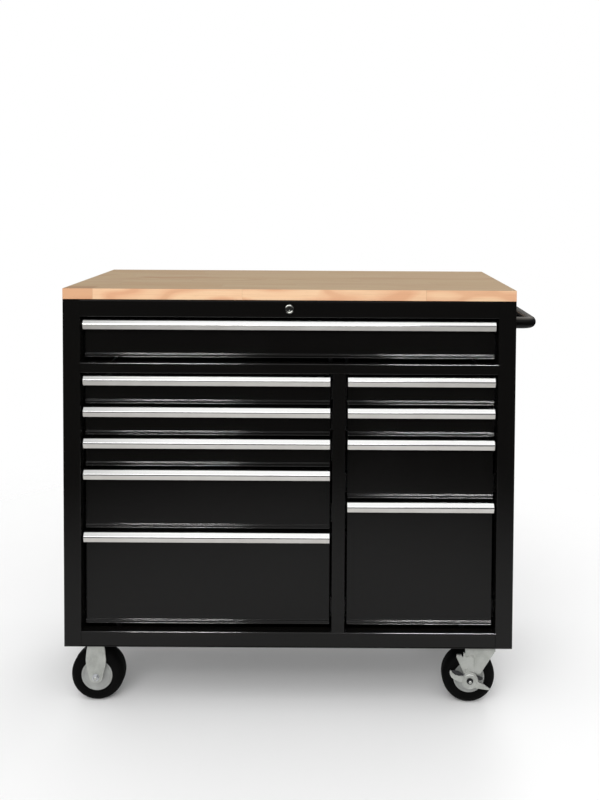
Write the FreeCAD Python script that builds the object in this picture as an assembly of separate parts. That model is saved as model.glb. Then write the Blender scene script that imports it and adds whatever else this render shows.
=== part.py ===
import FreeCAD, Part
import math
import os

# Rolling tool cabinet: steel body with ten drawers, wooden worktop, push handle,
# two rigid and two swivel casters. Millimetres, +Z up, the front looks towards -Y.
# While it is built, X is measured from the middle of the steel body, Y from the
# front plane of its frame and Z from the floor. The last lines move the whole
# model so that the origin is on the floor in the middle of its bounding box.

Vec = FreeCAD.Vector

# overall sizes
body_width = 1041.0
body_depth = 460.0
body_height = 810.0
worktop_thickness = 25.0
worktop_edge_radius = 2.0
caster_height = 155.0

# steel sheet
sheet = 1.2
bend = 0.8
base_sheet = 2.0
drawer_sheet = 1.0
seat_gap = 0.3
shaft_gap = 0.05
bolt_gap = 0.2

# front frame
stile_width = 40.0
stile_return = 60.0
post_return = 45.0
back_inset = 3.0
rail_depth = 24.0
top_rail_height = 40.0
top_opening_height = 106.0
middle_rail_height = 24.0
bottom_rail_height = 34.0
left_opening_width = 580.5
partition_width = 30.0

# drawer fronts
front_gap = 5.2
head_gap = 7.5
sill_gap = 9.0
side_gap = 5.5
face_recess = 25.0
front_depth = 20.0
lip_height = 8.0
lip_reach = 4.5
last_front_extra = 7.1
left_column_units = (1, 1, 1, 2, 3)
right_column_units = (1, 1, 2, 4)

# drawer boxes
box_rear_space = 34.0
box_below_front_top = 14.0
box_above_front_bottom = 3.0

# pulls
pull_height = 22.0
pull_reach = 24.5
pull_wall = 2.4
pull_flange_height = 15.0
pull_nose_radius = 7.3
pull_edge_radius = 0.8
pull_hollow_radius = 3.6
groove_width = 1.6
groove_depth = 1.2

# slides
slide_margin = 3.0
slide_thickness = 12.7
slide_front_gap = 1.0
slide_rear_space = 14.0
slide_overhang = 2.0
outer_flange = 8.6
middle_flange = 9.4
inner_flange = 8.0

# lock
lock_drop = 45.0
bezel_radius = 10.5
bezel_proud = 3.0
bezel_round = 1.4
barrel_radius = 9.0
barrel_length = 24.0
lock_nut_flats = 24.0
lock_nut_height = 4.0
plug_radius = 6.0
plug_inset = 0.6
plug_length = 29.0
keyway_width = 1.8
keyway_height = 8.0
keyway_depth = 7.0
shaft_radius = 4.0
crank_radius = 8.0
crank_plate = 3.0
crank_boss = 6.0
crank_pin_radius = 1.5
crank_rest_angle = -45.0
pin_slot_gap = 0.45
hanger_width = 30.0
hanger_drop = 14.0
hanger_from_back = 28.0
bar_width = 20.0
bar_plate = 3.0
tooth_width = 14.0
tooth_plate = 3.0
tooth_height = 12.0
tooth_under_catch = 2.0
arm_plate = 3.0
catch_plate = 1.5
catch_width = 30.0
catch_back_gap = 4.5
catch_slot_gap = 1.5
catch_below_rim = 21.0
tooth_from_box = 10.0
strap_height = 16.0
strap_foot = 9.0
strap_clear = 4.0

# push handle
handle_tube_radius = 13.5
handle_wall = 2.0
handle_reach = 46.0
handle_bend = 24.0
handle_drop = 80.0
handle_end_distance = 45.0
handle_flange_radius = 27.0
handle_flange_plate = 4.0
handle_screw_circle = 19.5

# casters
wheel_radius = 62.5
wheel_width = 50.0
tyre_shoulder = 13.0
tyre_side_inset = 3.0
hub_radius = 37.0
hub_rim_width = 43.0
hub_dish = 4.0
hub_boss_radius = 15.0
hub_boss_width = 53.0
hub_boss_round = 1.5
axle_radius = 6.0
caster_side_distance = 64.0
caster_front_distance = 65.0
caster_plate_x = 105.0
caster_plate_y = 90.0
caster_plate = 3.0
caster_plate_corner = 8.0
caster_hole_x = 80.0
caster_hole_y = 65.0
fork_plate = 3.0
fork_gap = 2.0
rigid_top_half = 18.0
rigid_wide_half = 24.0
rigid_wide_height = 104.0
rigid_end_radius = 13.0
swivel_trail = 29.0
race_radius = 30.0
race_height = 8.0
crown_plate = 5.0
kingpin_radius = 6.0
kingpin_head_radius = 11.0
kingpin_head_height = 4.0
fork_top_left = 39.5
fork_top_right = 31.5
fork_foot_right = 7.0
fork_foot_height = 70.0
fork_end_radius = 11.0
brake_plate = 2.5
brake_plate_left = 62.5
brake_plate_right = 20.5
brake_plate_foot_left = 46.5
brake_plate_top = 116.0
brake_plate_foot = 76.0
rivet_radius = 2.6
rivet_head = 1.0
rivet_from_axis = 38.5
rivet_height = 84.5
lever_plate = 2.5
lever_tip_reach = 53.0
lever_disc_radius = 17.0
lever_wing_width = 19.0
lever_tip_width = 6.0
lever_tab_depth = 9.0
lever_tab_length = 24.0
lever_slope = -25.0
lever_gap = 0.4
bolt_head_flats = 17.0
bolt_head_height = 6.0

# fasteners
plate_bolt_radius = 4.0
plate_bolt_flats = 13.0
plate_bolt_head = 5.3
handle_screw_radius = 2.5
handle_screw_head_radius = 4.5
handle_screw_head = 2.6
handle_screw_length = 12.0
wood_screw_radius = 2.5
wood_screw_head_radius = 5.0
wood_screw_head = 2.5
wood_screw_length = 18.0
wood_screw_inset_x = 120.0
wood_screw_inset_y = 60.0
wood_screw_columns = 3

overrun = 5.0
join_tolerance = 0.001
lock_turn = 90.0

# shares
foot_round_share = 0.9
wing_taper_share = 0.6

# places worked out from the sizes above
half_width = body_width / 2
body_bottom = caster_height
body_top = body_bottom + body_height
top_z = body_top + worktop_thickness
panel_low = body_bottom + base_sheet
panel_high = body_top - sheet
opening_side = half_width - stile_width
back_face = body_depth - back_inset - sheet
top_rail_low = body_top - top_rail_height
middle_rail_high = top_rail_low - top_opening_height
middle_rail_low = middle_rail_high - middle_rail_height
bottom_rail_high = panel_low + bottom_rail_height
partition_left = left_opening_width - opening_side
partition_right = partition_left + partition_width
box_front = face_recess + drawer_sheet
box_back = body_depth - box_rear_space
lock_z = top_z - lock_drop
bar_back = back_face - seat_gap
bar_front = bar_back - bar_plate
tooth_front = box_back + tooth_from_box
catch_back = bar_front - catch_back_gap
crank_low = math.radians(crank_rest_angle)
lock_rise = 2 * crank_radius * math.sin(math.radians(lock_turn / 2))
caster_x = half_width - caster_side_distance
caster_rows = (caster_front_distance, body_depth - caster_front_distance)
caster_under = body_bottom - caster_plate
leg_inner = hub_boss_width / 2 + fork_gap
leg_outer = leg_inner + fork_plate
handle_z = top_z - handle_drop

# the pitch is the smallest front with the gap under it; taller fronts span several
column_fronts = middle_rail_low - head_gap - bottom_rail_high - sill_gap
front_pitch = (column_fronts + front_gap - last_front_extra) / sum(left_column_units)
smallest_box = front_pitch - front_gap - box_below_front_top - box_above_front_bottom
slide_height = smallest_box - 2 * slide_margin
slide_start = face_recess + front_depth + slide_front_gap
slide_end = body_depth - slide_rear_space
inner_slide_end = box_back + slide_overhang

nodes = {}


# basic shapes

def block(x0, x1, y0, y1, z0, z1):
    return Part.makeBox(x1 - x0, y1 - y0, z1 - z0, Vec(x0, y0, z0))


def rod(start, along, radius, length):
    return Part.makeCylinder(radius, length, start, along)


def hexagon(start, along, flats, length):
    corner = flats / 2 / math.cos(math.pi / 6)
    if along.y:
        points = [start + Vec(corner * math.cos(k * math.pi / 3), 0,
                              corner * math.sin(k * math.pi / 3)) for k in range(6)]
    elif along.z:
        points = [start + Vec(corner * math.cos(k * math.pi / 3),
                              corner * math.sin(k * math.pi / 3), 0) for k in range(6)]
    return Part.Face(Part.makePolygon(points + points[:1])).extrude(along * length)


def rounded_wire(points, radii):
    """Closed wire through the points, with each corner rounded to its radius."""
    edges = []
    count = len(points)
    starts = []
    ends = []
    arcs = []
    for k in range(count):
        corner = points[k]
        to_before = (points[k - 1] - corner).normalize()
        to_after = (points[(k + 1) % count] - corner).normalize()
        half = to_before.getAngle(to_after) / 2
        if radii[k] <= 0:
            starts.append(corner)
            ends.append(corner)
            arcs.append(None)
            continue
        reach = radii[k] / math.tan(half)
        inward = (to_before + to_after).normalize()
        middle = corner + inward * (radii[k] / math.sin(half) - radii[k])
        starts.append(corner + to_before * reach)
        ends.append(corner + to_after * reach)
        arcs.append(middle)
    for k in range(count):
        if arcs[k] is not None:
            edges.append(Part.Arc(starts[k], arcs[k], ends[k]).toShape())
        following = starts[(k + 1) % count]
        if (following - ends[k]).Length > join_tolerance:
            edges.append(Part.LineSegment(ends[k], following).toShape())
    return Part.Wire(edges)


def prism(points, radii, along):
    return Part.Face(rounded_wire(points, radii)).extrude(along)


def in_xy(z):
    return lambda u, v: Vec(u, v, z)


def in_yz(x):
    return lambda u, v: Vec(x, u, v)


def in_xz(y):
    return lambda u, v: Vec(u, y, v)


def folded_sheet(path, thickness, side, place, along):
    """Sheet bent along a path of its outer face; side +1 puts its metal to the left."""
    count = len(path)
    offsets = []
    for k in range(count):
        before = Vec(*path[max(k - 1, 0)], 0)
        here = Vec(*path[k], 0)
        after = Vec(*path[min(k + 1, count - 1)], 0)
        first = (here - before) if k else (after - here)
        second = (after - here) if k < count - 1 else first
        first.normalize()
        second.normalize()
        left_first = Vec(-first.y, first.x, 0)
        left_second = Vec(-second.y, second.x, 0)
        mitre = left_first + left_second
        offsets.append(here + mitre * (2 * side * thickness / mitre.dot(mitre)))
    outer_radii = [0] * count
    inner_radii = [0] * count
    for k in range(1, count - 1):
        before, here, after = (Vec(*path[k + step], 0) for step in (-1, 0, 1))
        turn = (here - before).cross(after - here).z
        inner_is_inside = turn * side > 0
        outer_radii[k] = bend + thickness if inner_is_inside else bend
        inner_radii[k] = bend if inner_is_inside else bend + thickness
    points = [place(u, v) for u, v in path]
    points += [place(p.x, p.y) for p in reversed(offsets)]
    return prism(points, outer_radii + inner_radii[::-1], along)


def fuse(first, *others):
    return first.fuse(list(others)).removeSplitter()


# cabinet

def side_panel(sign):
    x_out = sign * half_width
    x_in = sign * opening_side
    path = [(x_in, body_depth - post_return), (x_in, body_depth), (x_out, body_depth),
            (x_out, 0), (x_in, 0), (x_in, stile_return)]
    metal_side = -sign
    panel = folded_sheet(path, sheet, metal_side, in_xy(panel_low),
                         Vec(0, 0, panel_high - panel_low))
    if sign > 0:
        for y, z in handle_screw_places():
            panel = panel.cut(rod(Vec(half_width - sheet - overrun, y, z), Vec(1, 0, 0),
                                  handle_screw_radius + bolt_gap, sheet + 2 * overrun))
    return panel


def rail(low, high):
    path = [(rail_depth, high), (0, high), (0, low), (rail_depth, low)]
    return folded_sheet(path, sheet, 1, in_yz(-opening_side), Vec(2 * opening_side, 0, 0))


def top_rail():
    hole = rod(Vec(0, -overrun, lock_z), Vec(0, 1, 0), barrel_radius + bolt_gap,
               sheet + 2 * overrun)
    return rail(top_rail_low, panel_high).cut(hole)


def partition():
    path = [(partition_left, back_face), (partition_left, 0),
            (partition_right, 0), (partition_right, back_face)]
    post = folded_sheet(path, sheet, 1, in_xy(bottom_rail_high),
                        Vec(0, 0, middle_rail_low - bottom_rail_high))
    feet = [block(x, x + sheet, rail_depth + seat_gap, back_face, panel_low, bottom_rail_high)
            for x in (partition_left, partition_right - sheet)]
    return fuse(post, *feet)


def bottom_panel():
    plate = block(-half_width, half_width, 0, body_depth, body_bottom, panel_low)
    upright = [edge for edge in plate.Edges
               if abs(edge.Vertexes[0].Z - edge.Vertexes[1].Z) > base_sheet / 2]
    plate = plate.makeFillet(bend + sheet, upright)
    for x, y in caster_bolt_places():
        plate = plate.cut(rod(Vec(x, y, body_bottom - overrun), Vec(0, 0, 1),
                              plate_bolt_radius + bolt_gap, base_sheet + 2 * overrun))
    return plate


def top_panel():
    plate = block(-half_width, half_width, 0, body_depth, panel_high, body_top)
    upright = [edge for edge in plate.Edges
               if abs(edge.Vertexes[0].Z - edge.Vertexes[1].Z) > sheet / 2]
    plate = plate.makeFillet(bend + sheet, upright)
    for x, y in worktop_screw_places():
        plate = plate.cut(rod(Vec(x, y, panel_high - overrun), Vec(0, 0, 1),
                              wood_screw_radius + bolt_gap, sheet + 2 * overrun))
    hanger_front = body_depth - hanger_from_back
    hanger = block(-hanger_width / 2, hanger_width / 2, hanger_front, hanger_front + sheet,
                   lock_z - hanger_drop, panel_high)
    hanger = hanger.cut(rod(Vec(0, hanger_front - overrun, lock_z), Vec(0, 1, 0),
                            shaft_radius + shaft_gap, sheet + 2 * overrun))
    return Part.makeCompound([plate, hanger])


def guide_strap(x, low):
    leg = bar_width / 2 + seat_gap + sheet
    foot = back_face - sheet
    bridge = bar_front - seat_gap - sheet
    path = [(x - leg - strap_foot, foot), (x - leg, foot), (x - leg, bridge),
            (x + leg, bridge), (x + leg, foot), (x + leg + strap_foot, foot)]
    return folded_sheet(path, sheet, 1, in_xy(low), Vec(0, 0, strap_height))


def back_panel():
    plate = block(-opening_side, opening_side, back_face, back_face + sheet,
                  panel_low, panel_high)
    straps = []
    for x, drawers in bar_columns():
        arm_low = drawers[0]["catch_z"] - tooth_under_catch - tooth_height - arm_plate
        straps.append(guide_strap(x, arm_low - strap_clear - strap_height))
        tooth_top = drawers[-1]["catch_z"] - tooth_under_catch + lock_rise
        straps.append(guide_strap(x, tooth_top + 2 * strap_clear))
    return Part.makeCompound([plate] + straps)


def worktop():
    board = block(-half_width, half_width, 0, body_depth, body_top, top_z)
    rounded = [edge for edge in board.Edges
               if max(v.Z for v in edge.Vertexes) > body_top + worktop_edge_radius]
    board = board.makeFillet(worktop_edge_radius, rounded)
    for x, y in worktop_screw_places():
        board = board.cut(rod(Vec(x, y, body_top - overrun), Vec(0, 0, 1),
                              wood_screw_radius + shaft_gap,
                              overrun + wood_screw_length + seat_gap))
    return board


# drawers

def list_drawers():
    """Names, places and sizes of all drawers, from the top one down each column."""
    drawers = []

    def add(name, left, right, front_high, front_low):
        box_low = front_low + box_above_front_bottom
        drawers.append({
            "name": name,
            "left": left + side_gap, "right": right - side_gap,
            "slide_left": left, "slide_right": right,
            "high": front_high, "low": front_low,
            "box_low": box_low, "box_high": front_high - box_below_front_top,
            "rail_z": box_low + smallest_box / 2,
            "catch_z": box_low + smallest_box - catch_below_rim,
        })

    add("top_drawer", -opening_side, opening_side, top_rail_low - head_gap,
        middle_rail_high + sill_gap)
    columns = (("left_drawer", -opening_side, partition_left, left_column_units),
               ("right_drawer", partition_right, opening_side, right_column_units))
    for column, left, right, spans in columns:
        high = middle_rail_low - head_gap
        for number, span in enumerate(spans, 1):
            low = high - span * front_pitch + front_gap
            if number == len(spans):
                low = bottom_rail_high + sill_gap
            add(f"{column}_{number}", left, right, high, low)
            high -= span * front_pitch
    return drawers


def bar_columns():
    """Each lock bar's place along X, with the drawers that it holds."""
    left_x = (partition_left - opening_side) / 2
    right_x = (partition_right + opening_side) / 2
    left = [d for d in drawers if d["slide_left"] < 0]
    right = [d for d in drawers if d["slide_left"] > 0]
    return ((left_x, left), (right_x, right))


def drawer_front(d):
    """Pan of the front: face, top and bottom returns, rounded lip and end returns."""
    back = face_recess + front_depth
    lip_top = d["low"] + lip_height
    lip_front = face_recess - lip_reach
    path = [(back, d["high"]), (face_recess, d["high"]), (face_recess, lip_top),
            (lip_front, lip_top), (lip_front, d["low"]), (back, d["low"])]
    pan = folded_sheet(path, drawer_sheet, 1, in_yz(d["left"]),
                       Vec(d["right"] - d["left"], 0, 0))
    ends = [block(x, x + drawer_sheet, face_recess + drawer_sheet / 2, back,
                  d["low"] + drawer_sheet / 2, d["high"] - drawer_sheet / 2)
            for x in (d["left"], d["right"] - drawer_sheet)]
    return fuse(pan, *ends)


def drawer_box(d):
    left = d["slide_left"] + slide_thickness
    right = d["slide_right"] - slide_thickness
    low, high = d["box_low"], d["box_high"]
    outside = block(left, right, box_front - drawer_sheet / 2, box_back, low, high)
    inside = block(left + drawer_sheet, right - drawer_sheet, box_front - drawer_sheet / 2,
                   box_back - drawer_sheet, low + drawer_sheet, high + overrun)
    bar_x = next(x for x, held in bar_columns() if d in held)
    catch = block(bar_x - catch_width / 2, bar_x + catch_width / 2,
                  box_back - drawer_sheet / 2, catch_back,
                  d["catch_z"], d["catch_z"] + catch_plate)
    slot = block(bar_x - tooth_width / 2 - catch_slot_gap,
                 bar_x + tooth_width / 2 + catch_slot_gap,
                 tooth_front - catch_slot_gap, tooth_front + tooth_plate + catch_slot_gap,
                 d["catch_z"] - overrun, d["catch_z"] + catch_plate + overrun)
    tray = fuse(outside.cut(inside), catch.cut(slot), drawer_front(d))
    members = [channel(d, sign, "inner") for sign in (1, -1)]
    return Part.makeCompound([tray] + members)


def channel(d, sign, kind):
    """One slide member; sign +1 is the drawer's left side, -1 its right side."""
    wall = d["slide_left"] if sign > 0 else d["slide_right"]
    half = slide_height / 2
    if kind == "outer":
        near, far, flange = 0, sheet, (0, outer_flange)
    elif kind == "middle":
        half -= sheet + seat_gap
        near, far = sheet + seat_gap, 2 * sheet + seat_gap
        flange = (near, near + middle_flange)
    else:
        half -= 2 * (sheet + seat_gap)
        near, far = slide_thickness - sheet, slide_thickness
        flange = (slide_thickness - inner_flange, slide_thickness)
    web_outside = near if kind != "inner" else far
    tip = flange[1] if kind != "inner" else flange[0]
    z = d["rail_z"]
    path = [(wall + sign * tip, z + half), (wall + sign * web_outside, z + half),
            (wall + sign * web_outside, z - half), (wall + sign * tip, z - half)]
    metal_side = sign if kind != "inner" else -sign
    end = slide_end if kind != "inner" else inner_slide_end
    return folded_sheet(path, sheet, metal_side, in_xz(slide_start), Vec(0, end - slide_start, 0))


def pull(d):
    """Extruded pull: flange on the drawer's face, top web, round nose and hooked lip."""
    back = face_recess
    nose = face_recess - pull_reach
    top = d["high"]
    foot = top - pull_height
    split = top - pull_height / 2
    wall = pull_wall
    outer = [(back, top), (nose + pull_height / 2, top), (nose, split + groove_width),
             (nose, split + groove_width / 2), (nose + groove_depth, split),
             (nose, split - groove_width / 2), (nose, foot), (nose + wall, foot)]
    inner = [(nose + wall, split), (nose + pull_height / 2, top - wall),
             (back - wall, top - wall), (back - wall, top - pull_flange_height),
             (back, top - pull_flange_height)]
    points = [Vec(d["left"], y, z) for y, z in outer + inner]
    edge = pull_edge_radius
    radii = [0, pull_nose_radius, 0, 0, 0, 0, edge, edge,
             wall, pull_hollow_radius, edge, 0, 0]
    return prism(points, radii, Vec(d["right"] - d["left"], 0, 0))


# lock

def lock_housing():
    bezel = rod(Vec(0, -bezel_proud, lock_z), Vec(0, 1, 0), bezel_radius, bezel_proud)
    front = [edge for edge in bezel.Edges if abs(edge.BoundBox.YMax + bezel_proud) < seat_gap]
    bezel = bezel.makeFillet(bezel_round, front)
    barrel = rod(Vec(0, -bezel_round, lock_z), Vec(0, 1, 0), barrel_radius,
                 bezel_round + barrel_length)
    bore = rod(Vec(0, -bezel_proud - overrun, lock_z), Vec(0, 1, 0),
               plug_radius + shaft_gap, bezel_proud + barrel_length + 2 * overrun)
    nut = hexagon(Vec(0, sheet, lock_z), Vec(0, 1, 0), lock_nut_flats, lock_nut_height)
    nut = nut.cut(rod(Vec(0, -overrun, lock_z), Vec(0, 1, 0), barrel_radius + shaft_gap,
                      barrel_length + 2 * overrun))
    return Part.makeCompound([fuse(bezel, barrel).cut(bore), nut])


def lock_plug():
    """Key plug, long shaft, crank and crank pin: one turning piece."""
    front = plug_inset - bezel_proud
    plug = rod(Vec(0, front, lock_z), Vec(0, 1, 0), plug_radius, plug_length)
    keyway = block(-keyway_width / 2, keyway_width / 2, front - overrun,
                   front + keyway_depth, lock_z - keyway_height / 2,
                   lock_z + keyway_height / 2)
    crank_back = bar_front - crank_plate
    shaft = rod(Vec(0, front + keyway_depth, lock_z), Vec(0, 1, 0), shaft_radius,
                crank_back - front - keyway_depth)
    pin_x = crank_radius * math.cos(crank_low)
    pin_z = lock_z + crank_radius * math.sin(crank_low)
    crank_front = crank_back - crank_plate
    boss = rod(Vec(0, crank_front, lock_z), Vec(0, 1, 0), crank_boss, crank_plate)
    end = rod(Vec(pin_x, crank_front, pin_z), Vec(0, 1, 0), crank_boss / 2, crank_plate)
    pin = rod(Vec(pin_x, crank_front, pin_z), Vec(0, 1, 0), crank_pin_radius,
              bar_back - crank_front)
    return fuse(plug.cut(keyway), shaft, boss, end, pin)


def lock_bars():
    """Two upright bars joined by a cross bar, with a tooth on an arm for each drawer."""
    pin_z = lock_z + crank_radius * math.sin(crank_low)
    pieces = []
    columns = bar_columns()
    cross_low = pin_z - bar_width / 2
    pieces.append(block(columns[0][0] - bar_width / 2, columns[1][0] + bar_width / 2,
                        bar_front, bar_back, cross_low, cross_low + bar_width))
    for x, held in columns:
        lowest = held[-1]["catch_z"] - tooth_under_catch - tooth_height - arm_plate
        pieces.append(block(x - bar_width / 2, x + bar_width / 2, bar_front, bar_back,
                            lowest, cross_low + bar_width))
        for d in held:
            tooth_top = d["catch_z"] - tooth_under_catch
            arm_top = tooth_top - tooth_height
            pieces.append(block(x - tooth_width / 2, x + tooth_width / 2, tooth_front,
                                bar_back, arm_top - arm_plate, arm_top))
            pieces.append(block(x - tooth_width / 2, x + tooth_width / 2, tooth_front,
                                tooth_front + tooth_plate, arm_top - arm_plate, tooth_top))
    slot_half = crank_pin_radius + pin_slot_gap
    reach_min = crank_radius * math.cos(crank_low) - slot_half
    reach_max = crank_radius + slot_half
    slot = block(reach_min, reach_max, bar_front - overrun, bar_back + overrun,
                 pin_z - slot_half, pin_z + slot_half)
    return fuse(*pieces).cut(slot)


# push handle

def handle_path():
    """Centre line of the handle's tube: out from the side, back along it and in again."""
    start_x = half_width
    run_x = half_width + handle_reach
    front = handle_end_distance
    rear = body_depth - handle_end_distance
    reach = handle_bend
    slant = reach * (1 - math.sqrt(0.5))
    points = [Vec(start_x, front, handle_z), Vec(run_x - reach, front, handle_z),
              Vec(run_x - slant, front + slant, handle_z), Vec(run_x, front + reach, handle_z),
              Vec(run_x, rear - reach, handle_z), Vec(run_x - slant, rear - slant, handle_z),
              Vec(run_x - reach, rear, handle_z), Vec(start_x, rear, handle_z)]
    return Part.Wire([Part.LineSegment(points[0], points[1]).toShape(),
                      Part.Arc(points[1], points[2], points[3]).toShape(),
                      Part.LineSegment(points[3], points[4]).toShape(),
                      Part.Arc(points[4], points[5], points[6]).toShape(),
                      Part.LineSegment(points[6], points[7]).toShape()])


def handle_ends():
    return (handle_end_distance, body_depth - handle_end_distance)


def handle_screw_places():
    return [(y, handle_z + sign * handle_screw_circle)
            for y in handle_ends() for sign in (1, -1)]


def push_handle():
    path = handle_path()
    start = Vec(half_width, handle_end_distance, handle_z)
    outside, hollow = [
        path.makePipeShell([Part.Wire(Part.makeCircle(radius, start, Vec(1, 0, 0)))], True, False)
        for radius in (handle_tube_radius, handle_tube_radius - handle_wall)]
    flanges = [rod(Vec(half_width, y, handle_z), Vec(1, 0, 0), handle_flange_radius,
                   handle_flange_plate) for y in handle_ends()]
    handle = fuse(outside, *flanges).cut(hollow)
    for y, z in handle_screw_places():
        handle = handle.cut(rod(Vec(half_width - overrun, y, z), Vec(1, 0, 0),
                                handle_screw_radius + bolt_gap,
                                handle_flange_plate + 2 * overrun))
    return handle


# casters

def caster_bolt_places():
    places = []
    for x in (-caster_x, caster_x):
        for y in caster_rows:
            for dx in (-caster_hole_x / 2, caster_hole_x / 2):
                for dy in (-caster_hole_y / 2, caster_hole_y / 2):
                    places.append((x + dx, y + dy))
    return places


def worktop_screw_places():
    step = 2 * (half_width - wood_screw_inset_x) / (wood_screw_columns - 1)
    return [(-half_width + wood_screw_inset_x + k * step, y)
            for k in range(wood_screw_columns)
            for y in (wood_screw_inset_y, body_depth - wood_screw_inset_y)]


def caster_top_plate(x, y):
    half_x, half_y = caster_plate_x / 2, caster_plate_y / 2
    corners = [Vec(x - half_x, y - half_y, caster_under), Vec(x + half_x, y - half_y, caster_under),
               Vec(x + half_x, y + half_y, caster_under), Vec(x - half_x, y + half_y, caster_under)]
    plate = prism(corners, [caster_plate_corner] * 4, Vec(0, 0, caster_plate))
    for hole_x, hole_y in caster_bolt_places():
        if abs(hole_x - x) < half_x and abs(hole_y - y) < half_y:
            plate = plate.cut(rod(Vec(hole_x, hole_y, caster_under - overrun), Vec(0, 0, 1),
                                  plate_bolt_radius + bolt_gap, caster_plate + 2 * overrun))
    return plate


def axle_bolt(x, y, front_reach):
    """Axle bolt along Y with a hexagon head in front and a nut behind."""
    front = y - front_reach
    back = y + leg_outer
    shank = rod(Vec(x, front, wheel_radius), Vec(0, 1, 0), axle_radius, back - front)
    head = hexagon(Vec(x, front - bolt_head_height, wheel_radius), Vec(0, 1, 0),
                   bolt_head_flats, bolt_head_height)
    nut = hexagon(Vec(x, back, wheel_radius), Vec(0, 1, 0), bolt_head_flats, bolt_head_height)
    return fuse(shank, head, nut)


def drill_axle(shape, x, y):
    return shape.cut(rod(Vec(x, y - body_depth, wheel_radius), Vec(0, 1, 0),
                         axle_radius + bolt_gap, 2 * body_depth))


def rigid_leg(x, face_y):
    points = [(x - rigid_top_half, caster_under), (x - rigid_wide_half, rigid_wide_height),
              (x - rigid_end_radius, wheel_radius - rigid_end_radius),
              (x + rigid_end_radius, wheel_radius - rigid_end_radius),
              (x + rigid_wide_half, rigid_wide_height), (x + rigid_top_half, caster_under)]
    end = rigid_end_radius * foot_round_share
    radii = [0, rigid_wide_half, end, end, rigid_wide_half, 0]
    place = in_xz(face_y)
    return prism([place(*p) for p in points], radii, Vec(0, fork_plate, 0))


def rigid_fork(x, y):
    plate = caster_top_plate(x, y)
    legs = [rigid_leg(x, y - leg_outer), rigid_leg(x, y + leg_inner)]
    return drill_axle(fuse(plate, *legs), x, y)


def swivel_top(x, y):
    """Fixed half of a swivel caster: plate, upper race and kingpin in one piece."""
    race = Part.makeCone(race_radius - 2 * seat_gap, race_radius, race_height,
                         Vec(x, y, caster_under - race_height))
    crown_top = caster_under - race_height - seat_gap
    pin_low = crown_top - crown_plate - seat_gap - kingpin_head_height
    pin = rod(Vec(x, y, pin_low), Vec(0, 0, 1), kingpin_radius, caster_under - pin_low)
    head = rod(Vec(x, y, pin_low), Vec(0, 0, 1), kingpin_head_radius, kingpin_head_height)
    return fuse(caster_top_plate(x, y), race, pin, head)


def swivel_leg(x, face_y):
    """Leg of the swivel fork: wide at the crown, narrow at the axle, which trails."""
    crown_top = caster_under - race_height - seat_gap
    axle_x = x - swivel_trail
    points = [(x - fork_top_left, crown_top), (x - fork_top_left, crown_top - crown_plate),
              (axle_x - fork_end_radius, wheel_radius),
              (axle_x - fork_end_radius, wheel_radius - fork_end_radius),
              (axle_x + fork_end_radius, wheel_radius - fork_end_radius),
              (x - fork_foot_right, fork_foot_height),
              (x + fork_top_right, crown_top - crown_plate), (x + fork_top_right, crown_top)]
    end = fork_end_radius * foot_round_share
    radii = [0, crown_plate, 0, end, end, fork_end_radius, crown_plate, 0]
    place = in_xz(face_y)
    return prism([place(*p) for p in points], radii, Vec(0, fork_plate, 0))


def brake_bracket(x, face_y):
    """Brake plate on the front of the swivel fork, with its rivet."""
    axle_x = x - swivel_trail
    points = [(x - brake_plate_left, brake_plate_top), (x - brake_plate_foot_left, brake_plate_foot),
              (axle_x - fork_end_radius, wheel_radius - fork_end_radius),
              (axle_x + fork_end_radius, wheel_radius - fork_end_radius),
              (x - brake_plate_right, brake_plate_foot), (x - brake_plate_right, brake_plate_top)]
    end = fork_end_radius * foot_round_share
    radii = [brake_plate, fork_plate, end, end, fork_plate, brake_plate]
    place = in_xz(face_y)
    plate = prism([place(*p) for p in points], radii, Vec(0, brake_plate, 0))
    rivet = rod(Vec(x - rivet_from_axis, face_y - rivet_head, rivet_height), Vec(0, 1, 0),
                rivet_radius, rivet_head + brake_plate)
    return fuse(plate, rivet)


def swivel_fork(x, y):
    crown_top = caster_under - race_height - seat_gap
    crown_low = crown_top - crown_plate
    crown = block(x - fork_top_left, x + fork_top_right, y - leg_outer, y + leg_outer,
                  crown_low, crown_top)
    crown = crown.cut(rod(Vec(x, y, crown_low - overrun), Vec(0, 0, 1),
                          kingpin_radius + shaft_gap, crown_plate + 2 * overrun))
    legs = [swivel_leg(x, y - leg_outer), swivel_leg(x, y + leg_inner)]
    bracket = brake_bracket(x, y - leg_outer - brake_plate)
    return drill_axle(fuse(crown, bracket, *legs), x - swivel_trail, y)


def hub(x, y):
    """Hub turned about the axle: rim, dished face, boss and bore."""
    rim = hub_rim_width / 2
    boss = hub_boss_width / 2
    bore = axle_radius + shaft_gap
    web = rim - hub_dish
    half = [(bore, boss), (hub_boss_radius, boss), (hub_boss_radius, web),
            (hub_radius - hub_dish, web), (hub_radius - hub_dish / 2, rim), (hub_radius, rim)]
    points = half + [(r, -w) for r, w in reversed(half)]
    radii = [0, hub_boss_round, 0, 0, 0, 0, 0, 0, 0, 0, hub_boss_round, 0]
    place = [Vec(x + r, y + w, wheel_radius) for r, w in points]
    face = Part.Face(rounded_wire(place, radii))
    return face.revolve(Vec(x, y, wheel_radius), Vec(0, 1, 0), 360)


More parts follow.
